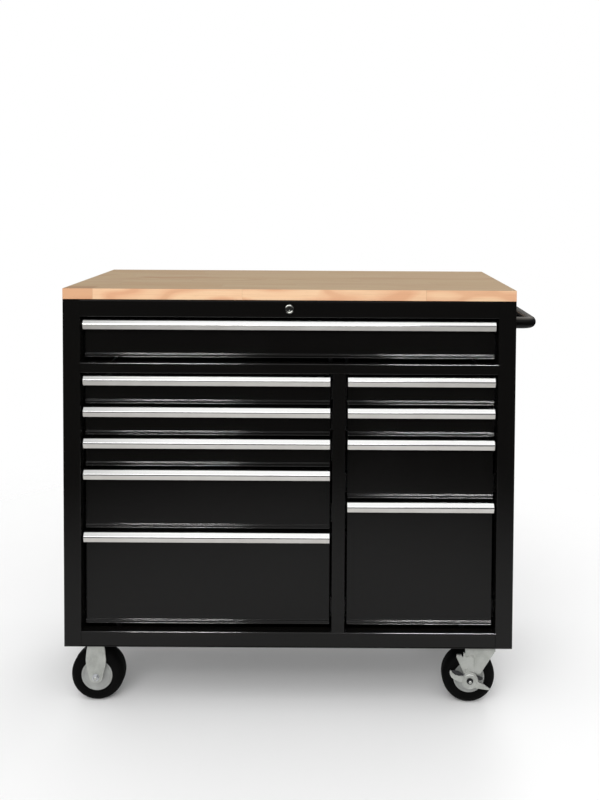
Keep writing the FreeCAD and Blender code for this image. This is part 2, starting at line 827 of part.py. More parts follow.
def tyre(x, y):
    """Tyre with round shoulders, bonded on the hub's rim."""
    side = wheel_width / 2
    inner_side = hub_rim_width / 2 + (wheel_width - hub_rim_width) / 4
    points = [(hub_radius, inner_side), (hub_radius + 2 * tyre_side_inset, side),
              (wheel_radius, side), (wheel_radius, -side),
              (hub_radius + 2 * tyre_side_inset, -side), (hub_radius, -inner_side)]
    radii = [0, tyre_side_inset, tyre_shoulder, tyre_shoulder, tyre_side_inset, 0]
    place = [Vec(x + r, y + w, wheel_radius) for r, w in points]
    face = Part.Face(rounded_wire(place, radii))
    return face.revolve(Vec(x, y, wheel_radius), Vec(0, 1, 0), 360)


def brake_lever(x, y):
    """Two-winged brake lever that turns on the axle bolt, with bent toe tabs."""
    axle_x = x - swivel_trail
    front = y - leg_outer - brake_plate - lever_gap - lever_plate
    half_wing = lever_wing_width / 2
    half_tip = lever_tip_width / 2
    shoulder = lever_tip_reach / 2
    taper = wing_taper_share
    wing = [(-lever_tip_reach, half_tip), (-lever_tip_reach, -half_tip),
            (-shoulder, -half_wing), (0, -half_wing), (shoulder, -half_wing * taper),
            (lever_tip_reach, -half_tip), (lever_tip_reach, half_tip),
            (shoulder, half_wing), (0, half_wing), (-shoulder, half_wing * taper)]
    radii = [half_tip * taper, half_tip * taper, half_wing, 0, half_wing] * 2
    place = in_xz(front)
    plate = prism([place(axle_x + u, wheel_radius + v) for u, v in wing], radii,
                  Vec(0, lever_plate, 0))
    disc = rod(Vec(axle_x, front, wheel_radius), Vec(0, 1, 0), lever_disc_radius, lever_plate)
    tabs = []
    for sign in (1, -1):
        outer = axle_x + sign * lever_tip_reach
        inner = outer - sign * lever_tab_length
        level = wheel_radius - sign * half_tip
        tabs.append(block(min(outer, inner), max(outer, inner), front - lever_tab_depth, front,
                          level - lever_plate / 2, level + lever_plate / 2))
    lever = fuse(plate, disc, *tabs)
    lever = lever.cut(rod(Vec(axle_x, front - overrun, wheel_radius), Vec(0, 1, 0),
                          axle_radius + shaft_gap, lever_plate + 2 * overrun))
    lever.rotate(Vec(axle_x, y, wheel_radius), Vec(0, 1, 0), -lever_slope)
    return lever


# fasteners

def fasteners():
    """Caster bolts with nuts, handle screws and worktop screws, each its own solid."""
    solids = []
    for x, y in caster_bolt_places():
        low = caster_under - plate_bolt_head
        head = hexagon(Vec(x, y, low), Vec(0, 0, 1), plate_bolt_flats, plate_bolt_head)
        shank = rod(Vec(x, y, caster_under), Vec(0, 0, 1), plate_bolt_radius,
                    panel_low - caster_under)
        nut = hexagon(Vec(x, y, panel_low), Vec(0, 0, 1), plate_bolt_flats, plate_bolt_head)
        solids.append(fuse(head, shank, nut))
    for y, z in handle_screw_places():
        seat = half_width + handle_flange_plate
        head = rod(Vec(seat, y, z), Vec(1, 0, 0), handle_screw_head_radius, handle_screw_head)
        shank = rod(Vec(seat - handle_screw_length, y, z), Vec(1, 0, 0), handle_screw_radius,
                    handle_screw_length)
        solids.append(fuse(head, shank))
    for x, y in worktop_screw_places():
        head = rod(Vec(x, y, panel_high - wood_screw_head), Vec(0, 0, 1),
                   wood_screw_head_radius, wood_screw_head)
        shank = rod(Vec(x, y, panel_high), Vec(0, 0, 1), wood_screw_radius,
                    sheet + wood_screw_length)
        solids.append(fuse(head, shank))
    return Part.makeCompound(solids)


# assembly

drawers = list_drawers()

nodes["left_side_panel"] = side_panel(-1)
nodes["right_side_panel"] = side_panel(1)
nodes["back_panel"] = back_panel()
nodes["bottom_panel"] = bottom_panel()
nodes["top_panel"] = top_panel()
nodes["top_rail"] = top_rail()
nodes["middle_rail"] = rail(middle_rail_low, middle_rail_high)
nodes["bottom_rail"] = rail(panel_low, bottom_rail_high)
nodes["center_partition"] = partition()
nodes["worktop"] = worktop()
nodes["push_handle"] = push_handle()
nodes["mounting_bolts"] = fasteners()
nodes["lock_housing"] = lock_housing()
nodes["lock_plug"] = lock_plug()
nodes["lock_bars"] = lock_bars()
nodes["cabinet_slide_rails"] = Part.makeCompound(
    [channel(d, sign, "outer") for d in drawers for sign in (1, -1)])

for d in drawers:
    nodes[d["name"] + "_box"] = drawer_box(d)
    nodes[d["name"] + "_pull"] = pull(d)
    nodes[d["name"] + "_slides"] = Part.makeCompound(
        [channel(d, sign, "middle") for sign in (1, -1)])

rigid_front_reach = leg_outer
brake_front_reach = leg_outer + brake_plate + 2 * lever_gap + lever_plate
nodes["rigid_caster_forks"] = Part.makeCompound(
    [shape for y in caster_rows
     for shape in (rigid_fork(-caster_x, y), axle_bolt(-caster_x, y, rigid_front_reach))])
nodes["swivel_top_plates"] = Part.makeCompound([swivel_top(caster_x, y) for y in caster_rows])
axle_x = caster_x - swivel_trail
for place, y in zip(("front", "rear"), caster_rows):
    nodes[f"{place}_swivel_fork"] = Part.makeCompound(
        [swivel_fork(caster_x, y), axle_bolt(axle_x, y, brake_front_reach)])
    nodes[f"{place}_brake_lever"] = brake_lever(caster_x, y)
    for side, x in (("left", -caster_x), ("right", axle_x)):
        nodes[f"{place}_{side}_hub"] = hub(x, y)
        nodes[f"{place}_{side}_tyre"] = tyre(x, y)

# move the origin to the middle of the bounding box, on the floor
center_x = (handle_reach + handle_tube_radius) / 2
center_y = (body_depth - bezel_proud) / 2
os.makedirs("parts", exist_ok=True)
for name, shape in nodes.items():
    shape.translate(Vec(-center_x, -center_y, 0))
    shape.exportStep(f"parts/{name}.step")
print(len(nodes), "nodes")
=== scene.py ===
import math

import bmesh
import bpy
from mathutils import Matrix, Vector


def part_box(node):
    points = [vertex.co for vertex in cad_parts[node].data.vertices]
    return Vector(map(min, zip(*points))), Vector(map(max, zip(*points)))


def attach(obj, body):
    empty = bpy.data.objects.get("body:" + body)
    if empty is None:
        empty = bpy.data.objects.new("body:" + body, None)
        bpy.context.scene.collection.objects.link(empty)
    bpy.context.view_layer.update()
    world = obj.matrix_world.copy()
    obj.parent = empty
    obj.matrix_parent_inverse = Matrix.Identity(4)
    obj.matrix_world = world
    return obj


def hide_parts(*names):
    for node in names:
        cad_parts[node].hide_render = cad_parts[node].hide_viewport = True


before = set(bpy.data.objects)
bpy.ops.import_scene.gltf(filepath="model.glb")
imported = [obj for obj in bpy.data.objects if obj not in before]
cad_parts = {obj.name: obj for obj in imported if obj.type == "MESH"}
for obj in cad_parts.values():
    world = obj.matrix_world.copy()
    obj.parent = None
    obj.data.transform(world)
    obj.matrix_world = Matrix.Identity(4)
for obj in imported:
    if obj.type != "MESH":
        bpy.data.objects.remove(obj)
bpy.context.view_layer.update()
scene = bpy.context.scene
scene.view_settings.view_transform = "Standard"
mm = 0.001
tiny = 0.00002  # two places nearer than this are one
shallow = 0.0002  # depth of a bump that only breaks up the gloss
along = {"x": Vector((1, 0, 0)), "y": Vector((0, 1, 0)), "z": Vector((0, 0, 1))}
print("frame loaded:", len(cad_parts), "nodes")


# one socket of a node tree; arithmetic on it adds Math nodes
class Value:
    def __init__(self, maker, socket):
        self.maker, self.socket = maker, socket

    def __add__(self, other):
        return self.maker.calc("ADD", self, other)

    def __sub__(self, other):
        return self.maker.calc("SUBTRACT", self, other)

    def __rsub__(self, other):
        return self.maker.calc("SUBTRACT", other, self)

    def __mul__(self, other):
        return self.maker.calc("MULTIPLY", self, other)

    def __truediv__(self, other):
        return self.maker.calc("DIVIDE", self, other)

    def __gt__(self, other):
        return self.maker.calc("GREATER_THAN", self, other)

    def __lt__(self, other):
        return self.maker.calc("LESS_THAN", self, other)

    __radd__ = __add__
    __rmul__ = __mul__


# a node tree with one way to add any node
class Maker:
    def __init__(self, tree):
        self.tree = tree

    def pick(self, sockets, key):
        live = [s for s in sockets if s.enabled]
        return live[key] if isinstance(key, int) else next(s for s in live if s.name == key)

    def add(self, kind, settings=None, inputs=None, output=0):
        node = self.tree.nodes.new(kind)
        for key, value in (settings or {}).items():
            if key == "stops":
                stops = node.color_ramp.elements
                while len(stops) < len(value):
                    stops.new(1.0)
                for stop, (place, colour) in zip(stops, value):
                    stop.position, stop.color = place, (*colour, 1.0)
            else:
                setattr(node, key, value)
        for key, value in (inputs or {}).items():
            self.plug(self.pick(node.inputs, key), value)
        return Value(self, self.pick(node.outputs, output))

    def calc(self, operation, *values):
        return self.add("ShaderNodeMath", {"operation": operation}, dict(enumerate(values)))

    def outputs(self, value):
        return [Value(self, socket) for socket in value.socket.node.outputs]

    def plug(self, socket, value):
        if isinstance(value, Value):
            self.tree.links.new(value.socket, socket)
        else:
            socket.default_value = value

    def noise(self, where, scale, detail=2.0, rough=0.5, stretch=(1, 1, 1)):
        place = self.add("ShaderNodeMapping", {}, {"Vector": where, "Scale": stretch})
        return self.add("ShaderNodeTexNoise", {"noise_dimensions": "3D"},
                        {"Vector": place, "Scale": scale, "Detail": detail, "Roughness": rough})

    def ramp(self, factor, low, high, start=0.0, end=1.0):
        return self.add("ShaderNodeMapRange", {"interpolation_type": "SMOOTHSTEP"},
                        {"Value": factor, "From Min": low, "From Max": high,
                         "To Min": start, "To Max": end})

    def blend(self, factor, first, second):
        return self.add("ShaderNodeMix", {"data_type": "RGBA", "clamp_factor": True},
                        {"Factor": factor, "A": first, "B": second})


# a material; uniform numbers go straight onto the shader's sockets
class Finish(Maker):
    def __init__(self, name, **uniform):
        self.material = bpy.data.materials.new(name)
        self.material.use_nodes = True
        super().__init__(self.material.node_tree)
        self.shader = next(n for n in self.tree.nodes if n.type == "BSDF_PRINCIPLED")
        for key, value in uniform.items():
            self.shader.inputs[key.replace("_", " ")].default_value = value
        self.where = self.add("ShaderNodeTexCoord", {}, {}, "Object")

    def paint(self, **links):
        for key, value in links.items():
            self.plug(self.shader.inputs[key.replace("_", " ")], value)

    def bump(self, height, strength, distance):
        self.paint(Normal=self.add("ShaderNodeBump", {}, {"Height": height, "Strength": strength,
                                                          "Distance": distance}))

    def parts(self, vector=None):
        return self.outputs(self.add("ShaderNodeSeparateXYZ", {}, {"Vector": vector or self.where}))

    # 1 where the surface faces up, 0 where it stands or hangs
    def upward(self, low, high):
        return self.ramp(self.parts(self.add("ShaderNodeNewGeometry", {}, {}, "Normal"))[2], low, high)


# finishes

# black enamel: cloudy paint, wiped gloss, specks of dust and a faint peel
enamelLook = {"name": "black_enamel", "paint": (0.0034, 0.0032, 0.0030), "cloudy": 1.35, "shine": 0.18,
              "gloss": 0.09, "wiped": 0.05, "peel": 0.002, "dust": (0.03, 0.029, 0.027, 1), "dusty": 0.12}
# the handle's enamel is lighter on the tube's top: a painted sheen for the highlight that falls there
handleLook = {**enamelLook, "name": "handle_enamel", "paint": (0.0030, 0.0029, 0.0027), "shine": 0.12,
              "gloss": 0.13, "peel": 0.01, "topSheen": (0.13, 0.122, 0.11, 1)}


def enamelFinish(look):
    made = Finish(look["name"], IOR=1.5, Specular_IOR_Level=look["shine"])
    cloud = made.noise(made.where, 3.0, 3.0)
    wipe = made.noise(made.where, 9.0, 4.0, 0.6, (1, 1, 0.35))
    dust = made.ramp(made.noise(made.where, 420.0, 2.0, 0.7), 0.66, 0.8)
    tone = made.blend(cloud, (*look["paint"], 1), (*(look["cloudy"] * c for c in look["paint"]), 1))
    # faces that look up take a lighter grey, a painted sheen
    if "topSheen" in look:
        tone = made.blend(made.upward(0.5, 0.95), tone, look["topSheen"])
    made.paint(Base_Color=made.blend(dust * look["dusty"], tone, look["dust"]),
               Roughness=look["gloss"] + made.ramp(wipe, 0.35, 0.75) * look["wiped"])
    made.bump(made.noise(made.where, 700.0, 1.0), look["peel"], shallow)
    return made


enamel = enamelFinish(enamelLook)
handleEnamel = enamelFinish(handleLook)

# aluminium pulls: the slope and band that face up are smoother and painted near white as a highlight, satin
# lip, all brushed lengthwise
pullLook = {"satin": (0.63, 0.62, 0.59, 1), "shade": (0.57, 0.55, 0.52, 1), "topHighlight": (0.95, 0.95, 0.94, 1),
            "metal": 0.85, "gloss": 0.28, "polish": 0.20, "brush": (3, 1100, 1100)}


def pullFinish(look):
    made = Finish("pull_aluminium")
    streak = made.noise(made.where, 1.0, 3.0, 0.6, look["brush"])
    cloud = made.noise(made.where, 18.0, 3.0)
    # faces that look up get a near-white painted highlight colour, more metal and less roughness
    top = made.upward(0.05, 0.15)
    satin = made.blend(made.ramp(cloud, 0.3, 0.7) * 0.6 + streak * 0.3, look["satin"], look["shade"])
    made.paint(Base_Color=made.blend(top, satin, look["topHighlight"]), Metallic=look["metal"] + top * 0.15,
               Roughness=look["gloss"] - top * look["polish"] + streak * 0.10 + cloud * 0.04)
    made.bump(streak, 0.02, shallow)
    return made


pullMetal = pullFinish(pullLook)

# small steel parts and the lock
zincLook = {"name": "zinc_steel", "colour": (0.60, 0.61, 0.63, 1), "tint": (0.50, 0.51, 0.52, 1),
            "gloss": 0.28, "brush": (60, 6, 400), "strength": 0.04, "spots": 0.3}
# dark steel for the bolts, lock bars and the swivel wheels' nuts, and painted shade in the brake's hollows
darkSteelAndShadeLook = {**zincLook, "name": "dark_steel_and_painted_shade", "colour": (0.055, 0.055, 0.058, 1),
             "tint": (0.04, 0.04, 0.04, 1), "gloss": 0.42}
chromeLook = {"name": "lock_chrome", "colour": (0.48, 0.48, 0.45, 1), "tint": (0.38, 0.37, 0.35, 1),
              "gloss": 0.03, "brush": (40, 40, 40), "strength": 0.02, "spots": 0.0}


def metalFinish(look):
    made = Finish(look["name"], Metallic=1.0)
    streak = made.noise(made.where, 1.0, 3.0, 0.6, look["brush"])
    cloud = made.noise(made.where, 26.0, 3.0, 0.55)
    fleck = made.ramp(made.noise(made.where, 160.0, 2.0), 0.55, 0.75)
    mottle = made.ramp(cloud, 0.3, 0.7) * 0.8 + fleck * look["spots"]
    made.paint(Base_Color=made.blend(mottle, look["colour"], look["tint"]),
               Roughness=look["gloss"] + streak * 0.12 + cloud * 0.06)
    made.bump(streak, look["strength"], shallow)
    return made


zinc = metalFinish(zincLook)
darkSteelAndShade = metalFinish(darkSteelAndShadeLook)
chrome = metalFinish(chromeLook)

# casters: dull passivated zinc, a little mottled, with a painted highlight where it faces up
casterLook = {"colour": (0.42, 0.43, 0.405, 1), "tint": (0.34, 0.35, 0.325, 1),
              "fleck": (0.50, 0.51, 0.49, 1), "upwardGlint": (0.93, 0.93, 0.91, 1), "metal": 0.42, "gloss": 0.36}


def casterFinish(look):
    made = Finish("caster_zinc", Specular_IOR_Level=0.5)
    cloud = made.noise(made.where, 38.0, 4.0, 0.6)
    fleck = made.ramp(made.noise(made.where, 240.0, 3.0, 0.65), 0.52, 0.72)
    scuff = made.ramp(made.noise(made.where, 1.0, 3.0, 0.7, (90, 30, 420)), 0.6, 0.78)
    tone = made.blend(made.ramp(cloud, 0.32, 0.68), look["colour"], look["tint"])
    tone = made.blend(fleck * 0.35, tone, look["fleck"])
    # faces that look up are painted near white, more metallic and smoother: a painted highlight
    upwardGlint = made.upward(0.45, 0.75)
    made.paint(Base_Color=made.blend(upwardGlint, tone, look["upwardGlint"]),
               Metallic=look["metal"] + scuff * 0.2 + upwardGlint * 0.35,
               Roughness=look["gloss"] + cloud * 0.16 - upwardGlint * 0.14)
    made.bump(fleck, 0.04, shallow)
    return made


casterZinc = casterFinish(casterLook)

# drawer slides: bright zinc with a black stop over the front end
slideLook = {"colour": (0.62, 0.63, 0.65, 1), "tint": (0.47, 0.48, 0.49, 1), "stop": (0.012, 0.012, 0.012, 1),
             "stopFrom": -0.166, "stopTo": -0.164, "gloss": 0.28}


def slideFinish(look):
    made = Finish("slide_zinc")
    streak = made.noise(made.where, 1.0, 3.0, 0.6, (400, 5, 400))
    spangle = made.ramp(made.noise(made.where, 55.0, 3.0), 0.35, 0.65)
    stop = made.ramp(made.parts()[1], look["stopFrom"], look["stopTo"], 1.0, 0.0)
    bright = made.blend(spangle * 0.6 + streak * 0.3, look["colour"], look["tint"])
    made.paint(Base_Color=made.blend(stop, bright, look["stop"]), Metallic=1.0 - stop,
               Roughness=look["gloss"] + streak * 0.14 + stop * 0.1)
    made.bump(streak, 0.04, shallow)
    return made


slideZinc = slideFinish(slideLook)

# wheels: black rubber with a little dust, and hubs painted grey
rubberLook = {"colour": (0.0030, 0.0030, 0.0030, 1), "dust": (0.0065, 0.006, 0.0058, 1),
              "shine": 0.03, "gloss": 0.5}
hubLook = {"colour": (0.33, 0.34, 0.325, 1), "tint": (0.28, 0.285, 0.275, 1), "shine": 0.5, "gloss": 0.34}


def rubberFinish(look):
    made = Finish("tyre_rubber", Specular_IOR_Level=look["shine"])
    scuff = made.noise(made.where, 60.0, 5.0, 0.65)
    dust = made.ramp(made.noise(made.where, 14.0, 3.0), 0.45, 0.75)
    made.paint(Base_Color=made.blend(dust * 0.35, look["colour"], look["dust"]),
               Roughness=look["gloss"] + scuff * 0.2)
    made.bump(scuff, 0.15, 0.0004)
    return made


def hubFinish(look):
    made = Finish("hub_grey", Specular_IOR_Level=look["shine"])
    cloud = made.noise(made.where, 35.0, 4.0)
    made.paint(Base_Color=made.blend(made.ramp(cloud, 0.3, 0.7), look["colour"], look["tint"]),
               Roughness=look["gloss"] + cloud * 0.15)
    made.bump(made.noise(made.where, 500.0, 2.0), 0.08, 0.0003)
    return made


rubber = rubberFinish(rubberLook)
hubGrey = hubFinish(hubLook)

# finger-jointed staves: rows across the depth, staves along X, each cut from another trunk
woodPlan = {"front": -0.2285, "rowWidth": 0.046, "staveLength": 0.3826, "firstJoint": -0.4786,
            "waveLength": 1.53, "wave": 0.0402, "fingerPitch": 0.0046, "fingerDepth": 0.0045,
            "middle": 0.94, "spreadAcross": 0.11, "spreadUp": 0.08, "ringsPerMetre": 620.0,
            "ruddyStave": -1.0, "glueLine": 0.012, "fingerLine": 0.0016}
woodTones = {"pale": (0.86, 0.60, 0.375, 1), "paleOther": (0.83, 0.54, 0.31, 1),
             "deep": (0.77, 0.43, 0.25, 1), "deepOther": (0.70, 0.365, 0.19, 1),
             "ruddy": (0.64, 0.325, 0.165, 1), "lateRing": (0.62, 0.29, 0.15, 1),
             "fibre": (0.60, 0.33, 0.19, 1), "pore": (0.36, 0.2, 0.11, 1), "glue": (0.42, 0.26, 0.15, 1),
             "topShade": (0.64, 0.715, 0.69, 1), "gloss": 0.38}


def woodFinish(plan, tones):
    made = Finish("worktop_wood", Specular_IOR_Level=0.5)
    x, y, z = made.parts()
    rowPlace = (y - plan["front"]) / plan["rowWidth"]
    row = made.calc("FLOOR", rowPlace)
    later = row > 0.5
    pick = made.add("ShaderNodeTexWhiteNoise", {"noise_dimensions": "1D"}, {"W": row * 3.17 + 0.5})
    shift = pick * later
    tooth = made.calc("PINGPONG", y, plan["fingerPitch"] / 2)
    run = x - plan["firstJoint"] + shift * plan["waveLength"]
    wave = made.calc("SINE", run * (2 * math.pi / plan["waveLength"]))
    finger = tooth * (2 * plan["fingerDepth"] / plan["fingerPitch"])
    place = (run + wave * plan["wave"] + finger) / plan["staveLength"]
    stave = made.calc("FLOOR", place)
    seed = made.add("ShaderNodeTexWhiteNoise", {"noise_dimensions": "1D"},
                    {"W": stave * 7.13 + row * 31.7}, "Color")
    red, green, blue = made.outputs(made.add("ShaderNodeSeparateColor", {}, {"Color": seed}))
    # every stave looks at its own part of one big trunk, with its pith far away
    offset = made.add("ShaderNodeCombineXYZ", {}, {0: red * 9.0, 1: green * 7.0, 2: blue * 5.0})
    own = made.add("ShaderNodeVectorMath", {"operation": "ADD"}, {0: made.where, 1: offset})
    bend = made.noise(own, 1.0, 2.0, 0.5, (3.2, 9, 9))
    across = y + (red - 0.5) * plan["spreadAcross"]
    upward = z - plan["middle"] + (green - 0.5) * plan["spreadUp"]
    radius = made.calc("SQRT", across * across + upward * upward)
    rings = made.calc("SINE", (radius + bend * 0.05) * plan["ringsPerMetre"])
    figure = made.ramp(rings, -0.4, 1.0)
    fibre = made.noise(own, 1.0, 4.0, 0.65, (7, 420, 420))
    pores = made.ramp(made.noise(own, 1.0, 2.0, 0.5, (45, 1500, 1500)), 0.62, 0.72)
    cloud = made.noise(own, 1.0, 2.0, 0.5, (4, 22, 22))
    pale = made.blend(blue, tones["pale"], tones["paleOther"])
    deep = made.blend(blue, tones["deep"], tones["deepOther"])
    tone = made.blend(figure * 0.6 + made.ramp(cloud, 0.35, 0.7) * 0.35, pale, deep)
    ruddy = made.calc("COMPARE", stave, plan["ruddyStave"], 0.1)
    tone = made.blend(ruddy * (1 - later) * 0.8, tone, tones["ruddy"])
    tone = made.blend(made.ramp(rings, 0.7, 1.0) * 0.34, tone, tones["lateRing"])
    tone = made.blend(made.ramp(fibre, 0.45, 0.75) * 0.3, tone, tones["fibre"])
    tone = made.blend(pores * 0.22, tone, tones["pore"])
    # thin glue lines between rows and at the fingers
    rowLine = (made.calc("FRACT", rowPlace) < plan["glueLine"]) * later
    endLine = made.calc("FRACT", place) < plan["fingerLine"]
    line = made.calc("MAXIMUM", rowLine, endLine)
    tone = made.blend(line * 0.5, tone, tones["glue"])
    # the top face is multiplied by a grey-green: painted shade that leaves the top darker and greyer than the
    # front edge
    topShade = made.add("ShaderNodeMix", {"data_type": "RGBA", "blend_type": "MULTIPLY"},
                      {"Factor": 1.0, "A": tone, "B": tones["topShade"]})
    made.paint(Base_Color=made.blend(made.upward(0.5, 0.9), tone, topShade),
               Roughness=tones["gloss"] + fibre * 0.14)
    made.bump(fibre * 0.5 - pores * 0.6 - line * 0.5, 0.12, 0.0003)
    return made


wood = woodFinish(woodPlan, woodTones)
print("finishes ready")


# shapes

def gather(*shapes):
    whole = bmesh.new()
    for shape in shapes:
        part = bpy.data.meshes.new("part")
        shape.to_mesh(part)
        shape.free()
        whole.from_mesh(part)
        bpy.data.meshes.remove(part)
    return whole


def move(shape, step):
    bmesh.ops.translate(shape, vec=Vector(step), verts=shape.verts)
    return shape


def draw(shape, result, step):
    # moves the fresh end of an extrusion
    bmesh.ops.translate(shape, vec=Vector(step),
                        verts=[v for v in result["geom"] if isinstance(v, bmesh.types.BMVert)])


def bevel(shape, geom, size, segments, affect="EDGES"):
    bmesh.ops.bevel(shape, geom=geom, offset=size, offset_type="OFFSET", segments=segments,
                    profile=0.5, affect=affect, clamp_overlap=True, material=-1)


def cutFlat(shape, place, normal):
    bmesh.ops.bisect_plane(shape, geom=shape.verts[:] + shape.edges[:] + shape.faces[:],
                           plane_co=place, plane_no=normal)


def block(low, high):
    low, high = Vector(low), Vector(high)
    shape = bmesh.new()
    bmesh.ops.create_cube(shape, size=1)
    bmesh.ops.scale(shape, vec=high - low, verts=shape.verts)
    return move(shape, (low + high) / 2)


def towards(shape, axis):
    shape.normal_update()
    return [f for f in shape.faces if f.normal.dot(Vector(axis)) > 0.99]


def soften(shape, width, segments=2, least=30, edges=None):
    shape.normal_update()
    if edges is None:
        edges = [e for e in shape.edges if len(e.link_faces) == 2
                 and e.calc_face_angle() > math.radians(least)]
    bevel(shape, edges, width, segments)
    return shape


def lengthwise(shape, place):
    # edges along X through one place of the section
    return [e for e in shape.edges
            if all(abs(v.co.y - place[0]) + abs(v.co.z - place[1]) < tiny for v in e.verts)]


def foldSheet(path, sweep, wall, bend, segments=4):
    # sheet bent along a path of its outer face; a negative wall grows to the other side
    shape = bmesh.new()
    corners = [shape.verts.new(p) for p in path]
    edges = [shape.edges.new(pair) for pair in zip(corners, corners[1:])]
    draw(shape, bmesh.ops.extrude_edge_only(shape, edges=edges), sweep)
    bevel(shape, [e for e in shape.edges if len(e.link_faces) == 2], bend, segments)
    bmesh.ops.solidify(shape, geom=shape.faces[:], thickness=wall)
    bmesh.ops.recalc_face_normals(shape, faces=shape.faces)
    return shape


def outline(points, rounds, sweep, edge):
    # flat outline with rounded corners, swept into a plate with softened edges
    shape = bmesh.new()
    corners = [shape.verts.new(p) for p in points]
    shape.faces.new(corners)
    reach = []
    for k, corner in enumerate(corners):
        before = corners[k - 1].co - corner.co
        after = corners[(k + 1) % len(corners)].co - corner.co
        reach.append(rounds[k] / math.tan(before.angle(after) / 2))
    for corner, size in zip(corners, reach):
        if size > tiny / 2:
            bevel(shape, [corner], size, 6, "VERTICES")
    draw(shape, bmesh.ops.extrude_face_region(shape, geom=shape.faces[:]), sweep)
    bmesh.ops.recalc_face_normals(shape, faces=shape.faces)
    return soften(shape, edge, 2, 60)


def steps(radius, height, points):
    # points of a turned profile, in millimetres from a radius and a height
    return [(radius + r * mm, height + h * mm) for r, h in points]


def lathe(profile, centre, axis, segments=64):
    # spins a profile of (radius, place along the axis)
    shape = bmesh.new()
    side = along["z"] if axis.dot(along["z"]) < 0.5 else along["x"]
    corners = [shape.verts.new(Vector(centre) + side * r + axis * h) for r, h in profile]
    edges = [shape.edges.new(pair) for pair in zip(corners, corners[1:])]
    bmesh.ops.spin(shape, geom=corners + edges, cent=Vector(centre), axis=axis,
                   angle=2 * math.pi, steps=segments, use_merge=True, use_duplicate=False)
    bmesh.ops.remove_doubles(shape, verts=shape.verts, dist=1e-6)
    bmesh.ops.recalc_face_normals(shape, faces=shape.faces)
    return shape


def latheRing(profile, centre, axis, segments):
    # a profile that closes on itself, for a ring
    return lathe(profile + profile[:1], centre, axis, segments)


def hexNut(centre, axis, flats, height, crown):
    # six-sided head with its chamfered crown, towards the axis
    side = along["x"] if abs(axis.x) < 0.5 else along["z"]
    other = axis.cross(side)
    corner = flats / 2 / math.cos(math.pi / 6)
    shape = bmesh.new()
    turns = [k * math.pi / 3 for k in range(6)]
    points = [Vector(centre) + (side * math.cos(a) + other * math.sin(a)) * corner for a in turns]
    face = shape.faces.new([shape.verts.new(p) for p in points])
    swept = bmesh.ops.extrude_face_region(shape, geom=[face])
    draw(shape, swept, axis * height)
    bmesh.ops.recalc_face_normals(shape, faces=shape.faces)
    top = [v for v in swept["geom"] if isinstance(v, bmesh.types.BMVert)]
    bevel(shape, [e for e in shape.edges if all(v in top for v in e.verts)], crown, 2)
    return shape


enamelled = bpy.data.collections.new("enamelled")


def makePiece(name, shape, finish, body, stands=(), crease=35):
    mesh = bpy.data.meshes.new(name)
    shape.to_mesh(mesh)
    shape.free()
    mesh.materials.append(finish.material)
    mesh.shade_smooth()
    mesh.set_sharp_from_angle(angle=math.radians(crease))
    thing = bpy.data.objects.new(name, mesh)
    even = thing.modifiers.new("even_shading", "WEIGHTED_NORMAL")  # flat faces stay flat beside their folds
    even.keep_sharp = True
    scene.collection.objects.link(thing)
    if finish is enamel:
        enamelled.objects.link(thing)
    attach(thing, body)
    if stands:
        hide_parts(*stands)
    return thing


# worktop
topBoard = {"edge": 1.2 * mm, "edgeSteps": 4}
board = soften(block(*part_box("worktop")), topBoard["edge"], topBoard["edgeSteps"])
makePiece("wooden_worktop", board, wood, "cabinet", ["worktop"])
print("worktop ready")

# drawers: pressed front with its rolled lip, tray with hemmed rims, runners and lock catch
drawerSizes = {"wall": 1.0 * mm, "lipHeight": 8.0 * mm, "lipReach": 4.0 * mm, "frontDepth": 20.0 * mm,
               "bend": 1.2 * mm, "roll": 2.4 * mm, "rollRound": 0.45, "rollProud": 0.5 * mm,
               "trayBelowTop": 14.0 * mm, "trayAboveLow": 3.0 * mm, "trayInset": 7.2 * mm,
               "trayLength": 400.0 * mm, "trayWall": 0.8, "trayBend": 1.1 * mm,
               "hem": 2.4 * mm, "hemDrop": 9.0 * mm,
               "runnerStart": 21.0 * mm, "runnerEnd": 403.0 * mm, "runnerRise": 25.5 * mm,
               "runnerHalf": 19.5 * mm, "runnerFlange": 8.0 * mm, "runnerWall": 1.2 * mm,
               "runnerBend": 1.0 * mm, "catchRise": 30.0 * mm, "catchPlate": 1.5 * mm,
               "catchWidth": 30.0 * mm, "catchReach": 22.0 * mm, "slotWidth": 17.0 * mm,
               "slotStart": 8.5 * mm, "slotEnd": 14.5 * mm, "barHalf": 10 * mm}
barLow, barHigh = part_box("lock_bars")
barPlaces = {"left": barLow.x + drawerSizes["barHalf"], "right": barHigh.x - drawerSizes["barHalf"]}
drawerNames = (["top_drawer"] + ["left_drawer_%d" % k for k in range(1, 6)]
               + ["right_drawer_%d" % k for k in range(1, 5)])


def drawerFront(low, high, s):
    face = low.y + s["rollProud"] + s["lipReach"]
    lipTop = low.z + s["lipHeight"]
    shape = block((low.x, face, low.z), (high.x, face + s["frontDepth"], high.z))
    cutFlat(shape, (0, 0, lipTop), (0, 0, 1))
    lip = [f for f in towards(shape, (0, -1, 0)) if f.calc_center_median().z < lipTop]
    pushed = bmesh.ops.extrude_discrete_faces(shape, faces=lip)["faces"]
    bmesh.ops.translate(shape, vec=(0, -s["lipReach"], 0), verts=pushed[0].verts)
    bmesh.ops.delete(shape, geom=towards(shape, (0, 1, 0)), context="FACES_ONLY")
    bmesh.ops.remove_doubles(shape, verts=shape.verts, dist=1e-6)
    bmesh.ops.recalc_face_normals(shape, faces=shape.faces)
    soften(shape, s["bend"], 3)
    bmesh.ops.solidify(shape, geom=shape.faces[:], thickness=s["wall"])
    # rolled hem along the lip's lower edge, inside the folded ends
    roll = block((low.x + s["wall"], low.y, low.z),
                 (high.x - s["wall"], low.y + s["roll"], low.z + s["roll"]))
    return gather(shape, soften(roll, s["rollRound"] * s["roll"], 5))


